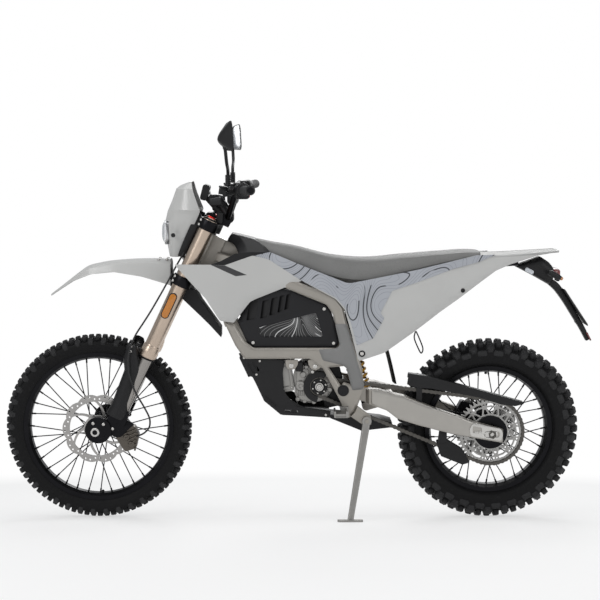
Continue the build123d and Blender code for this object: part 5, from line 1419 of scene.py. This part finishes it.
# the motor's casing and cover, with a round boss, fins and screws
casing_line = [
    (738, 590), (786, 593), (796, 572), (862, 556), (872, 506), (852, 462), (800, 446), (752, 452),
    (734, 480),
]
cover_line = [
    (742, 572), (782, 580), (790, 556), (784, 520), (790, 486), (812, 462), (792, 453), (756, 458),
    (742, 484),
]
motor_parts = [
    side_plate([softened(casing_line, 12, 5)], -73, 6, 1.5),
    side_plate([softened(cover_line, 10, 4)], -79, 9, 2.5),
    boss([(0, 20), (8, 20), (11, 16), (11, 8), (9, 6)], (757, -82, 514), 40),
    boss([(0, 12), (5, 12), (7, 9), (7, 4)], (766, -82, 556), 30),
]
motor_parts += [
    swept([(x, -84, 476), (x + 2, -84, 494)], rounded(3, 5, 1, 2), ALONG_Y) for x in range(748, 783, 7)
]
casing_screws = [
    (748, 580), (778, 584), (746, 462), (772, 456), (806, 452), (846, 466), (866, 498), (858, 552),
]
motor_parts += [boss([(0, 9), (5, 9), (7, 7), (7, 3)], (x, -76, z), 20) for x, z in casing_screws]
piece("motor_castings", join(*motor_parts), cast_alloy, "frame", bevel=0.4)

# the drive sprocket's shield, nut and screws
drive_x, drive_z = DRIVE
arc = np.linspace(math.radians(62), math.radians(262), 30)
arc_path = np.column_stack([drive_x + 47 * np.cos(arc), np.full(30, -92.0), drive_z + 47 * np.sin(arc)])
shield_ring = [(-6, 10), (-6, 31), (0, 31), (2, 29), (2, 19), (4, 17), (4, 10)]
shield = join(
    swept(arc_path, rounded(24, 11, 3, 4), ALONG_Y),
    turned(shield_ring, (drive_x, -89.5, drive_z), 56, LEFTWARD),
)
piece("sprocket_shield", shield, black_plastic, "frame")
shield_screws = [
    bolt((drive_x + 25 * math.cos(turn), -91, drive_z + 25 * math.sin(turn)), 3.6, proud=2.5)
    for turn in np.linspace(0, 2 * math.pi, 6, endpoint=False) + 0.3
]
drive_nut = join(
    turned([(-4, 9), (-4, 16), (3, 16), (4, 15), (4, 9)], (drive_x, -92, drive_z), 36, LEFTWARD),
    nut((drive_x, -95, drive_z), 12.5, proud=8),
    boss([(0, 5), (10, 5), (11, 4)], (drive_x, -95, drive_z), 16),
)
tab = [(700, 616), (748, 616), (746, 597), (735, 580), (709, 580), (702, 594)]
rear_tab = [(782, 616), (838, 616), (832, 588), (812, 576), (796, 580), (786, 596)]
tabs = join(*(side_plate([softened(outline, 5, 3)], -114, 7, 1.2) for outline in (tab, rear_tab)))
piece("motor_mount_tabs", both(tabs), frame_paint, "frame")
tab_bolts = join(bolt((722, -117, 594), 9), bolt((810, -117, 592), 9), bolt((800, -117, 571), 6))
motor_bolts = join(*shield_screws, drive_nut, both(tab_bolts))
piece("motor_bolts", motor_bolts, machined, "frame", angle=30)
plug = boss([(-2, 21), (1.5, 21), (3, 19.5), (3, 17), (1, 15.5), (1, 6), (2, 5)], (913, -131.5, 504), 48)
piece("pivot_plugs", both(plug), guard_black, "frame", bevel=0.3)
connector_plate = [(846, 570), (896, 604), (914, 540), (906, 436), (850, 424), (838, 470)]
connectors = [
    side_plate([softened(connector_plate, 8, 4)], -58, 5, 1.2),
    swept([(752, -98, 606), (752, -98, 572)], rounded(34, 26, 6, 3), (1, 0, 0)),
    swept([(772, -94, 600), (792, -90, 596)], circle(9, 14)),
    swept([(690, -70, 478), (690, -70, 500)], circle(13, 16), (1, 0, 0)),
    swept([(668, -70, 474), (668, -70, 498)], circle(13, 16), (1, 0, 0)),
]
piece("motor_connectors", join(*connectors), black_plastic, "frame", bevel=0.6)
CONTROLLER = np.array([684.6, 0, 548.0])
CONTROLLER_TILT = math.radians(8)
TILTED = np.array([math.cos(CONTROLLER_TILT), 0, math.sin(CONTROLLER_TILT)])
TILTED_UP = np.array([-math.sin(CONTROLLER_TILT), 0, math.cos(CONTROLLER_TILT)])


def on_controller(across, up, y):
    """Bike point on the tilted controller, `across` and `up` from its middle."""
    return CONTROLLER + TILTED * across + TILTED_UP * up + ACROSS * y


border = sheet_cut([rounded(70, 104, 5, 3), rounded(54, 80, 4, 3)[::-1]], 5, 1.2)
field = sheet_cut([rounded(48, 74, 3, 3)], 2.4, 0.6)
face = join(*(
    laid(sheet, on_controller(4, 0, y), TILTED, TILTED_UP) for sheet, y in ((border, -82), (field, -81))
))
piece("controller_face", both(face), cast_alloy, "frame")
face_bolts = [bolt(on_controller(4 + across, up, -84), 4.5) for across in (-29, 29) for up in (-46, 46)]
side_bolts = [bolt((x, -107.2, z), 5) for x, z in ((548, 622), (606, 610), (594, 560), (850, 409))]
piece("controller_bolts", both(join(*face_bolts, *side_bolts)), machined, "frame", angle=30)
cover_bolts = [bolt((x, COVER_Y - 0.5, z), 6.5) for x, z in ((842, 804.5), (582, 680), (877, 678))]
piece("battery_bolts", both(join(*cover_bolts)), machined, "frame", angle=30)
skin_y = float(rear_depth(np.array([981.0]), np.array([641.0]))[0])
bolt_rim = boss([(-2, 12), (1.6, 12), (2.4, 11), (2.4, 8.6), (0.4, 8)], (981, skin_y - 0.4, 641), 30)
piece("panel_bolt_rims", both(bolt_rim), guard_black, "frame")
panel_bolt = bolt((981, skin_y - 0.6, 641), 7, proud=3)
piece("panel_bolts", both(panel_bolt), machined, "frame", angle=30)
lock_y = float(rear_depth(np.array([1350.0]), np.array([872.0]))[0])
lock = boss([(-3, 8), (2, 8), (3, 7), (3, 4), (1.5, 3.4)], (1350, lock_y, 872))
piece("seat_lock", lock, black_plastic, "frame", bevel=0.3)

# ---------------------------------------------------------------- brake discs
WAVE = 8.5                # depth of the notches round a brake disc


def wavy_disc(centre, y, outer, waves, band, hub_r, arms, lean_deg, wall, arm):
    """Flat ring with a waved rim, drilled in pairs, on leaning arms that leave windows between them.

    The rim is at outer - WAVE * (1 - |cos(waves * turn / 2)|) ** 1.3, and a window runs between two arms."""
    turn = np.linspace(0, 2 * math.pi, 20 * waves, endpoint=False)
    reach = outer - WAVE * (1 - np.abs(np.cos(waves * turn / 2))) ** 1.3
    outlines = [np.stack([reach * np.cos(turn), reach * np.sin(turn)], -1)]
    inner, low = outer - band, hub_r + 5
    radii = np.linspace(low, inner, 7)
    shift = math.radians(lean_deg) * (radii - low) / (inner - low)
    for k in range(arms):
        start = 2 * math.pi * k / arms + shift + arm / 2 / radii
        end = 2 * math.pi * (k + 1) / arms + shift - arm / 2 / radii
        over = np.linspace(start[-1], end[-1], 9)[1:-1]
        under = np.linspace(end[0], start[0], 6)[1:-1]
        angle = np.concatenate([start, over, end[::-1], under])
        size = np.concatenate([radii, np.full(7, inner), radii[::-1], np.full(4, low)])
        outlines.append(softened(np.stack([size * np.cos(angle), size * np.sin(angle)], -1), 3, 2))
    on_lobe, in_band = outer - 8.4, outer - 0.66 * band
    for k in range(waves):
        for beyond, size in ((-0.12, on_lobe), (0.12, on_lobe), (0.37, in_band), (0.63, in_band)):
            at = 2 * math.pi * (k + beyond) / waves
            outlines.append(circle(3.4, 8) + [size * math.cos(at), size * math.sin(at)])
    outlines.append(circle(hub_r - 12, 40))
    return side_plate([own + [centre[0], centre[2]] for own in outlines], y, wall, 0.4)


front_disc = wavy_disc(FRONT_AXLE, -60.5, 130, 10, 27, 46, 6, 32, 4.0, 11)
piece("front_disc", front_disc, front_steel, "front_wheel", ("front_brake_disc",))

# ---------------------------------------------------------------- rear sprocket
tooth_turn = np.linspace(0, 2 * math.pi, DRIVEN_TEETH * 8, endpoint=False)
tooth_r = 120.8 + 6.2 * np.clip(1.5 * np.cos(DRIVEN_TEETH * tooth_turn), -1, 1)
toothed = [np.stack([tooth_r * np.cos(tooth_turn), tooth_r * np.sin(tooth_turn)], -1), circle(50, 48)]


def window(angle, corners):
    """Window of a wheel: corners given as (degrees from its middle, radius), with eased corners."""
    corners = np.asarray(corners, float)
    turn = math.radians(angle) + np.radians(corners[:, 0])
    return softened(np.stack([corners[:, 1] * np.cos(turn), corners[:, 1] * np.sin(turn)], -1), 3, 3)


for middle in range(0, 360, 30):
    toothed.append(window(middle, [(-11, 98), (-10, 107), (0, 109), (10, 107), (11, 98), (0, 99.5)]))
    toothed.append(window(middle, [(-10.5, 92), (0, 94), (10.5, 92), (1.6, 68), (-1.6, 68)]))
    toothed.append(window(middle + 15, [(-7.5, 67), (7.5, 67), (1.8, 86), (-1.8, 86)]))
    hole_turn = math.radians(middle + 15)
    toothed.append(circle(3.4, 10) + [103 * math.cos(hole_turn), 103 * math.sin(hole_turn)])
sprocket = side_plate([own + [WHEELBASE, REAR_R] for own in toothed], CHAIN_Y, 5.4, 0.7)
piece("toothed_sprocket", sprocket, rear_steel, "rear_wheel", ("rear_sprocket",))

# ---------------------------------------------------------------- rear axle ends
hub_profile = [(0, 60), (3, 62), (8, 62), (10, 60), (10, 30), (6, 26), (6, 12)]
hub_cover = boss(hub_profile, (WHEELBASE, -84, REAR_R), 64)
piece("rear_hub_cover", hub_cover, black_alloy, "rear_wheel", bevel=0.4)
ARM_FACE = -133.4
arm_end = [(1392, 384), (1496, 362), (1504, 340), (1496, 316), (1384, 334), (1378, 360)]
recess = [(1392, 372), (1424, 366), (1424, 344), (1390, 348)]
end_cuts = [rounded(56, 22, 9, 5) + [1462, 341], softened(recess, 5, 3)]
end_plate = side_plate([softened(arm_end, 8, 4), *end_cuts], ARM_FACE - 1.5, 4.5, 1.0)
axle_block = side_plate([rounded(46, 20, 4, 3) + [1460, 341]], ARM_FACE - 1.0, 5.5, 1.2)
adjuster = swept([(1398, ARM_FACE - 1, 350), (1442, ARM_FACE - 1, 343)], circle(4, 12))
adjuster_nut = nut((1416, ARM_FACE - 1, 347), 7, (1, 0, -0.16))
axle_blocks = join(end_plate, axle_block, adjuster, adjuster_nut)
piece("axle_blocks", both(axle_blocks), machined, "frame", angle=30)
ring_nut = [(0, 9.3), (0, 15.5), (6, 15.5), (8, 13.5), (8, 9.3)]
axle_nut = turned(ring_nut, (WHEELBASE, ARM_FACE - 4, REAR_R), 6, LEFTWARD)
piece("axle_nuts", both(axle_nut), chain_metal, "frame", bevel=0.5)

# ---------------------------------------------------------------- tail
hump_x = np.linspace(1560, 1694, 24)[:, None]
hump_top = np.interp(hump_x, [1560, 1649, 1680, 1694], [958, 990, 970, 953])
hump_low = np.interp(hump_x, [1560, 1622, 1680, 1694], [950, 918, 885, 900])
hump_half = np.interp(hump_x, [1560, 1600, 1660, 1694], [30, 46, 50, 46])
around = np.linspace(0, 2 * math.pi, 28, endpoint=False)
aside = np.sign(np.cos(around)) * np.abs(np.cos(around)) ** 0.55
above = np.sign(np.sin(around)) * np.abs(np.sin(around)) ** 0.7
hump = surface(hump_x, hump_half * aside, (hump_top + hump_low) / 2 + (hump_top - hump_low) / 2 * above)
piece("tail_housing", capped(hump), black_plastic, "frame", ("plate_holder",), angle=34)
lamp_steps = ((1690, 44, 18), (1706, 44, 17), (1715, 42, 15), (1721, 36, 11), (1722.5, 20, 6))
tail_lamp = capped(facing_rings(rounded(2, 2, 0.5, 7), 929, lamp_steps))
piece("tail_lamp", tail_lamp, red_lens, "frame", ("rear_lights",), angle=40)


def indicator(hand):
    """Stalk and pod on one side; the pod tapers to the rear."""
    pod = [(1668, hand * 86, 938), (1676, hand * 87, 934), (1700, hand * 90, 922), (1714, hand * 91, 915)]
    return join(
        swept([(1680, hand * 40, 930), (1682, hand * 66, 930)], circle(6.5, 16)),
        swept(pod, rounded(50, 22, 9, 5), (0, 0, 1), [0.72, 1.0, 0.94, 0.6]),
    )


indicators = join(*(indicator(hand) for hand in (-1, 1)))
piece("indicator_pods", indicators, black_plastic, "frame", bevel=0.4)
lenses = [
    swept([(1706, hand * 90, 919), (1716, hand * 91, 914), (1720, hand * 91.5, 912)], rounded(36, 14, 6, 5),
          (0, 0, 1), [1.0, 0.9, 0.5])
    for hand in (-1, 1)
]
piece("indicator_lenses", join(*lenses), amber_lens, "frame")
arm_route = np.array([
    (1682, 0, 900), (1712, 0, 876), (1745, 0, 832), (1782, 0, 772), (1812, 0, 722), (1836, 0, 676),
])
down = np.linspace(0, 1, 30)
arm_path = through(np.linspace(0, 1, len(arm_route)), arm_route)(down)
arm_size = np.interp(down, [0, 0.15, 0.5, 0.8, 1], [1.0, 1.15, 0.95, 0.8, 0.7])
plate_arm = swept(arm_path, rounded(44, 24, 7, 4), (1, 0, 0), arm_size)
piece("plate_arm", plate_arm, black_plastic, "frame", angle=30)
PLATE_DOWN = unit(np.array([1824.0, 0, 733]) - [1731, 0, 871])
PLATE_OUT = np.array([-PLATE_DOWN[2], 0, PLATE_DOWN[0]])
plate_at = np.array([1777.0, 0, 802]) + PLATE_OUT * 4.0
backing_at = plate_at - PLATE_OUT * 2.4
plate = laid(sheet_cut([rounded(120, 160, 8, 4)], 1.6, 0.3), plate_at, ACROSS, -PLATE_DOWN)
backing = laid(sheet_cut([rounded(124, 166, 9, 4)], 2.6, 0.6), backing_at, ACROSS, -PLATE_DOWN)
piece("blank_plate", plate, grey_plastic, "frame")
piece("plate_backing", backing, black_plastic, "frame")
reflex = laid(sheet_cut([rounded(60, 34, 4, 3)], 5.0, 1.2), (1835.5, 0, 690), ACROSS, (-0.45, 0, 0.89))
piece("rear_reflector", reflex, red_lens, "frame")
plate_lamp = join(
    swept([(1790, 0, 738), (1806, 0, 750)], rounded(34, 14, 4, 3)),
    bar(1716, 902, -22, 22, rounded(12, 10, 3, 3)),
)
piece("plate_lamp", plate_lamp, black_plastic, "frame", bevel=0.5)
side_lens = laid(sheet_cut([rounded(34, 15, 5, 4)], 2.0, 0.6), (1604, -47.5, 938), (1, 0, -0.52), (0.5, 0, 1))
piece("tail_side_lenses", both(side_lens), clear_lens, "frame")
loop_route = np.array([
    (1182, -70, 716), (1178, -70, 690), (1192, -70, 654), (1204, -70, 634), (1210, -70, 652),
    (1196, -70, 690), (1184, -70, 716),
])
loop_path = through(np.linspace(0, 1, len(loop_route)), loop_route)(np.linspace(0, 1, 40))
strap_loop = swept(loop_path, rounded(5, 2, 0.9, 3), ALONG_Y)
piece("strap_loop", strap_loop, black_plastic, "frame")

# the mud flap: a sheet down behind the shock, bowed across with shallow ribs
down = np.linspace(0, 1, 26)[:, None]
flap_route = through([0, 0.4, 0.75, 1.0], [(1056, 786), (1076, 668), (1096, 588), (1113, 515)])
flap_x, flap_z = flap_route(down[:, 0]).T
flap_half = np.interp(down, [0, 0.3, 0.92, 1.0], [40, 56, 57, 50])
across = np.linspace(-1, 1, 21)
bow = 1.6 * np.cos(across * 12) - 7 * (1 - across**2)
flap = surface(flap_x[:, None] + bow, flap_half * across, flap_z[:, None])
piece("mud_flap_sheet", grid(flap), rubber, "frame", ("mud_flap",),
      wall=3.5, offset=0, bevel=0.5)

# ---------------------------------------------------------------- mirrors
MIRROR = np.array([505.0, -384.0, 1431.0])
inward = math.radians(14)
GLASS_OUT = unit(np.array([math.cos(inward), math.sin(inward), 0.06]))
GLASS_ACROSS = unit(np.cross((0, 0, 1.0), GLASS_OUT))
GLASS_UP = np.cross(GLASS_OUT, GLASS_ACROSS)
mirror_corners = [(-60, -34), (-60, 34), (-48, 52), (36, 42), (66, 20), (70, -18), (54, -50), (-48, -52)]
mirror_line = softened(mirror_corners, 12, 5)
layers = (                # size, and place along the glass's direction: a lip, then the domed back
    (0.93, 1.0), (0.93, 4.0), (1.0, 4.0), (1.0, 0.0), (0.84, -8.0), (0.64, -18.0), (0.44, -28.0),
    (0.24, -36.0), (0.08, -40.0),
)


def mirror_ring(size, deep):
    """The mirror's outline at a size; on the domed back, its middle drifts to one side and down."""
    drift = -10.0 * (1 - size) if deep < 0 else 0.0
    u, v = mirror_line[:, :1] * size + drift, mirror_line[:, 1:] * size + drift
    return MIRROR + u * GLASS_ACROSS + v * GLASS_UP + deep * GLASS_OUT


shell = capped(np.stack([mirror_ring(*layer) for layer in layers]))
glass = laid(sheet_cut([mirror_line * 0.925], 1.6, 0.3), MIRROR + GLASS_OUT * 2.2, GLASS_ACROSS, GLASS_UP)
piece("mirror_shells", both(shell), black_plastic, "steering", ("mirrors",), angle=26)
piece("mirror_glass", both(glass), mirror_glass, "steering")
stem_foot = np.array([497.0, -231.0, 1254.7])
stem_route = np.array([
    stem_foot, stem_foot + [-0.5, 2.2, 56.0], (496, -318, 1338), (493, -350, 1380), (491, -372, 1402),
])
stem_path = through([0, 0.28, 0.55, 0.8, 1.0], stem_route)(np.linspace(0, 1, 36))
sleeve = stem_foot + np.linspace(0, 1, 12)[:, None] * np.array([-0.4, 1.5, 40.0])
sleeve_size = 9.0 + 1.3 * (np.arange(12) % 2)
stem = join(
    swept(stem_path, circle(6, 16), (1, 0, 0)), swept(sleeve, circle(1.0, 18), (1, 0, 0), sleeve_size),
    swept([(496, -364, 1388), (493, -374, 1408)], circle(11, 18), (1, 0, 0)),
)
piece("mirror_stems", both(stem), black_plastic, "steering")

# ---------------------------------------------------------------- handlebar fittings
BAR = np.array([489.4, 0, 1134.8])
bar_x, _, bar_z = BAR
pad_y = np.linspace(-84, 84, 25)
pad_size = 1 - 0.25 * np.abs(pad_y / 84) ** 8
cockpit = [
    both(bar(bar_x - 6, bar_z, 26, 50, rounded(50, 40, 10, 4))),                # bar clamps
    bar(404, 1226, -48, 48, rounded(26, 58, 8, 4), (0.25, 0, 0.97)),            # display housing
    both(swept([(410, 26, 1204), (440, 30, 1170), (474, 34, 1146)], rounded(16, 12, 3, 3), ALONG_Y)),
    bar(440, 1200, -44, -12, rounded(44, 36, 8, 4)),                            # boxes under the display
    bar(452, 1176, 4, 52, rounded(48, 40, 9, 4)),
    both(swept([(448, 62, 1206), (470, 70, 1176), (486, 72, 1150)], circle(13, 18), ALONG_Y)),
    both(swept([(430, 86, 1192), (470, 96, 1196)], rounded(34, 30, 7, 4))),
    swept([(508, y, 1204) for y in np.linspace(-134, 134, 12)], circle(6, 14)), # crossbar and its pad
    swept([(506, y, 1205) for y in pad_y], rounded(40, 46, 13, 5), scale=pad_size),
    bar(bar_x - 66, bar_z + 2, -34, 34, rounded(34, 30, 8, 4)),                 # box ahead of the bar
    both(swept([(bar_x - 52, 30, bar_z + 26), (bar_x - 20, 30, bar_z)], circle(6, 14), ALONG_Y)),
    swept([(bar_x - 28, 66, bar_z - 12), (bar_x - 34, 68, bar_z + 26)], circle(15, 24), ALONG_X),
    swept([(bar_x - 34, -70, bar_z - 18), (bar_x - 26, -72, bar_z + 20)], rounded(30, 26, 7, 4), ALONG_X),
]


def reservoir(hand):
    """Brake fluid reservoir on one side: tub, lid, lever pivot and master cylinder."""
    at = np.array([bar_x + 18, hand * 190.0, 1250.0])
    return join(
        swept([at + [-30, 0, -26], at + [-26, 0, -4]], rounded(44, 34, 8, 4), ALONG_X),
        swept([at + [-26, 0, -3], at + [-25, 0, 3]], rounded(48, 38, 9, 4), ALONG_X),
        swept([at + [-24, hand * -24, -18], at + [-24, hand * 44, -20]], circle(9, 18), ALONG_X),
        swept([at + [-26, hand * 10, -26], at + [8, hand * 4, -16]], rounded(26, 18, 5, 3)),
    )


fittings = join(*cockpit, reservoir(-1), reservoir(1))
piece("cockpit_fittings", fittings, black_plastic, "steering", bevel=0.8)
screen = laid(sheet_cut([rounded(80, 44, 5, 4)], 2.0, 0.5), (419, 0, 1229), ALONG_Y, (-0.25, 0, 0.97))
piece("display_glass", screen, mirror_black, "steering")
lid_screws = [bolt((bar_x - 7, y, 1253.5), 2.6, (0, 0, 1), 1.6) for y in (-208, -172, 172, 208)]
clamp_screws = [
    bolt((bar_x - 6 + k, y, bar_z + 20), 4.0, (0, 0, 1), 3) for y in (-38, 38) for k in (-16, 16)
]
piece("cockpit_screws", join(*lid_screws, *clamp_screws), machined, "steering", angle=30)
switches = join(
    boss([(0, 6), (7, 6), (8.5, 4.5), (8.5, 2)], (566, -252, 1222), 20, (0.8, -0.4, -0.5)),
    boss([(0, 5), (5, 5), (6, 4)], (560, 262, 1240), 20, (0.7, 0, 0.7)),
)
piece("red_switches", switches, red_plastic, "steering")

# ---------------------------------------------------------------- stage, lights and camera
def studio_floor():
    """Pale floor that fades to plain white with distance for whatever looks at it or mirrors it."""
    made = Finish("studio floor", (0.86, 0.86, 0.86), 0.6)
    ahead, aside = (made.node("ShaderNodeSeparateXYZ", [made.place], output=k) for k in (0, 1))
    distance = (ahead * ahead + aside * aside).root()
    rays = ("Is Camera Ray", "Is Glossy Ray", "Is Transmission Ray")
    seen, reflected, refracted = (made.node("ShaderNodeLightPath", output=ray) for ray in rays)
    share = distance.rise(1.3, 3.4).most(0.55) * seen.most(reflected).most(refracted)
    glow = made.node("ShaderNodeEmission", {"Color": (1.0, 1.0, 1.0), "Strength": 1.0})
    fade = made.node("ShaderNodeMixShader", {0: share, 1: Wire(made, made.shader.outputs[0]), 2: glow})
    made.tree.links.new(fade.socket, made.tree.nodes["Material Output"].inputs["Surface"])
    return made


disc = circle(30.0, 96)
floor_mesh = bpy.data.meshes.new("floor")
floor_mesh.from_pydata(np.column_stack([disc, np.full(96, -0.0006)]).tolist(), [], [list(range(96))])
floor_mesh.materials.append(studio_floor().material)
floor = bpy.data.objects.new("floor", floor_mesh)
bpy.context.scene.collection.objects.link(floor)
floor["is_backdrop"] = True

world = bpy.data.worlds.new("studio")
bpy.context.scene.world = world
world.use_nodes = True
sky = world.node_tree
path = sky.nodes.new("ShaderNodeLightPath")
white, soft = sky.nodes.new("ShaderNodeBackground"), sky.nodes["Background"]
white.inputs["Color"].default_value = (1, 1, 1, 1)
soft.inputs["Color"].default_value = (0.97, 0.985, 1.0, 1)
soft.inputs["Strength"].default_value = 0.5
either = sky.nodes.new("ShaderNodeMath")
either.operation = "MAXIMUM"
choose = sky.nodes.new("ShaderNodeMixShader")
sky.links.new(path.outputs["Is Camera Ray"], either.inputs[0])
sky.links.new(path.outputs["Is Transmission Ray"], either.inputs[1])
sky.links.new(either.outputs[0], choose.inputs[0])
sky.links.new(soft.outputs[0], choose.inputs[1])
sky.links.new(white.outputs[0], choose.inputs[2])
sky.links.new(choose.outputs[0], sky.nodes["World Output"].inputs["Surface"])


def softbox(name, place, aim, size, power):
    """Rectangular area lamp at a point in metres, turned to face another."""
    lamp = bpy.data.lights.new(name, "AREA")
    lamp.shape = "RECTANGLE"
    lamp.size, lamp.size_y = size
    lamp.energy = power
    holder = bpy.data.objects.new(name, lamp)
    holder.location = place
    holder.rotation_euler = (Vector(aim) - Vector(place)).to_track_quat("-Z", "Y").to_euler()
    bpy.context.scene.collection.objects.link(holder)


softbox("overhead", (0.0, -0.4, 3.6), (0.0, 0.0, 0.6), (3.4, 2.2), 44)
softbox("key", (-2.6, -3.6, 2.4), (0.0, 0.0, 0.6), (1.8, 1.8), 52)
softbox("fill", (2.9, -3.0, 1.6), (0.2, 0.0, 0.6), (1.6, 2.0), 22)
softbox("rim", (0.6, 3.4, 2.6), (0.0, 0.0, 0.7), (2.8, 1.4), 45)

camera_data = bpy.data.cameras.new("camera")
camera = bpy.data.objects.new("camera", camera_data)
bpy.context.scene.collection.objects.link(camera)
bpy.context.scene.camera = camera
VIEW_DISTANCE = 5200.0    # mm to the left of the bike's middle plane
VIEW_WIDTH = 2.244        # metres across the view at the target
viewpoint = Vector(parked([699.0, -VIEW_DISTANCE, 1404.0]))
target = Vector(parked([755.0, 0.0, 824.0]))
camera.location = viewpoint
camera.rotation_euler = (target - viewpoint).to_track_quat("-Z", "Y").to_euler()
camera_data.lens = camera_data.sensor_width * (target - viewpoint).length / VIEW_WIDTH
camera_data.clip_end = 60.0
bpy.context.scene.view_settings.view_transform = "Standard"

low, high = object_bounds()
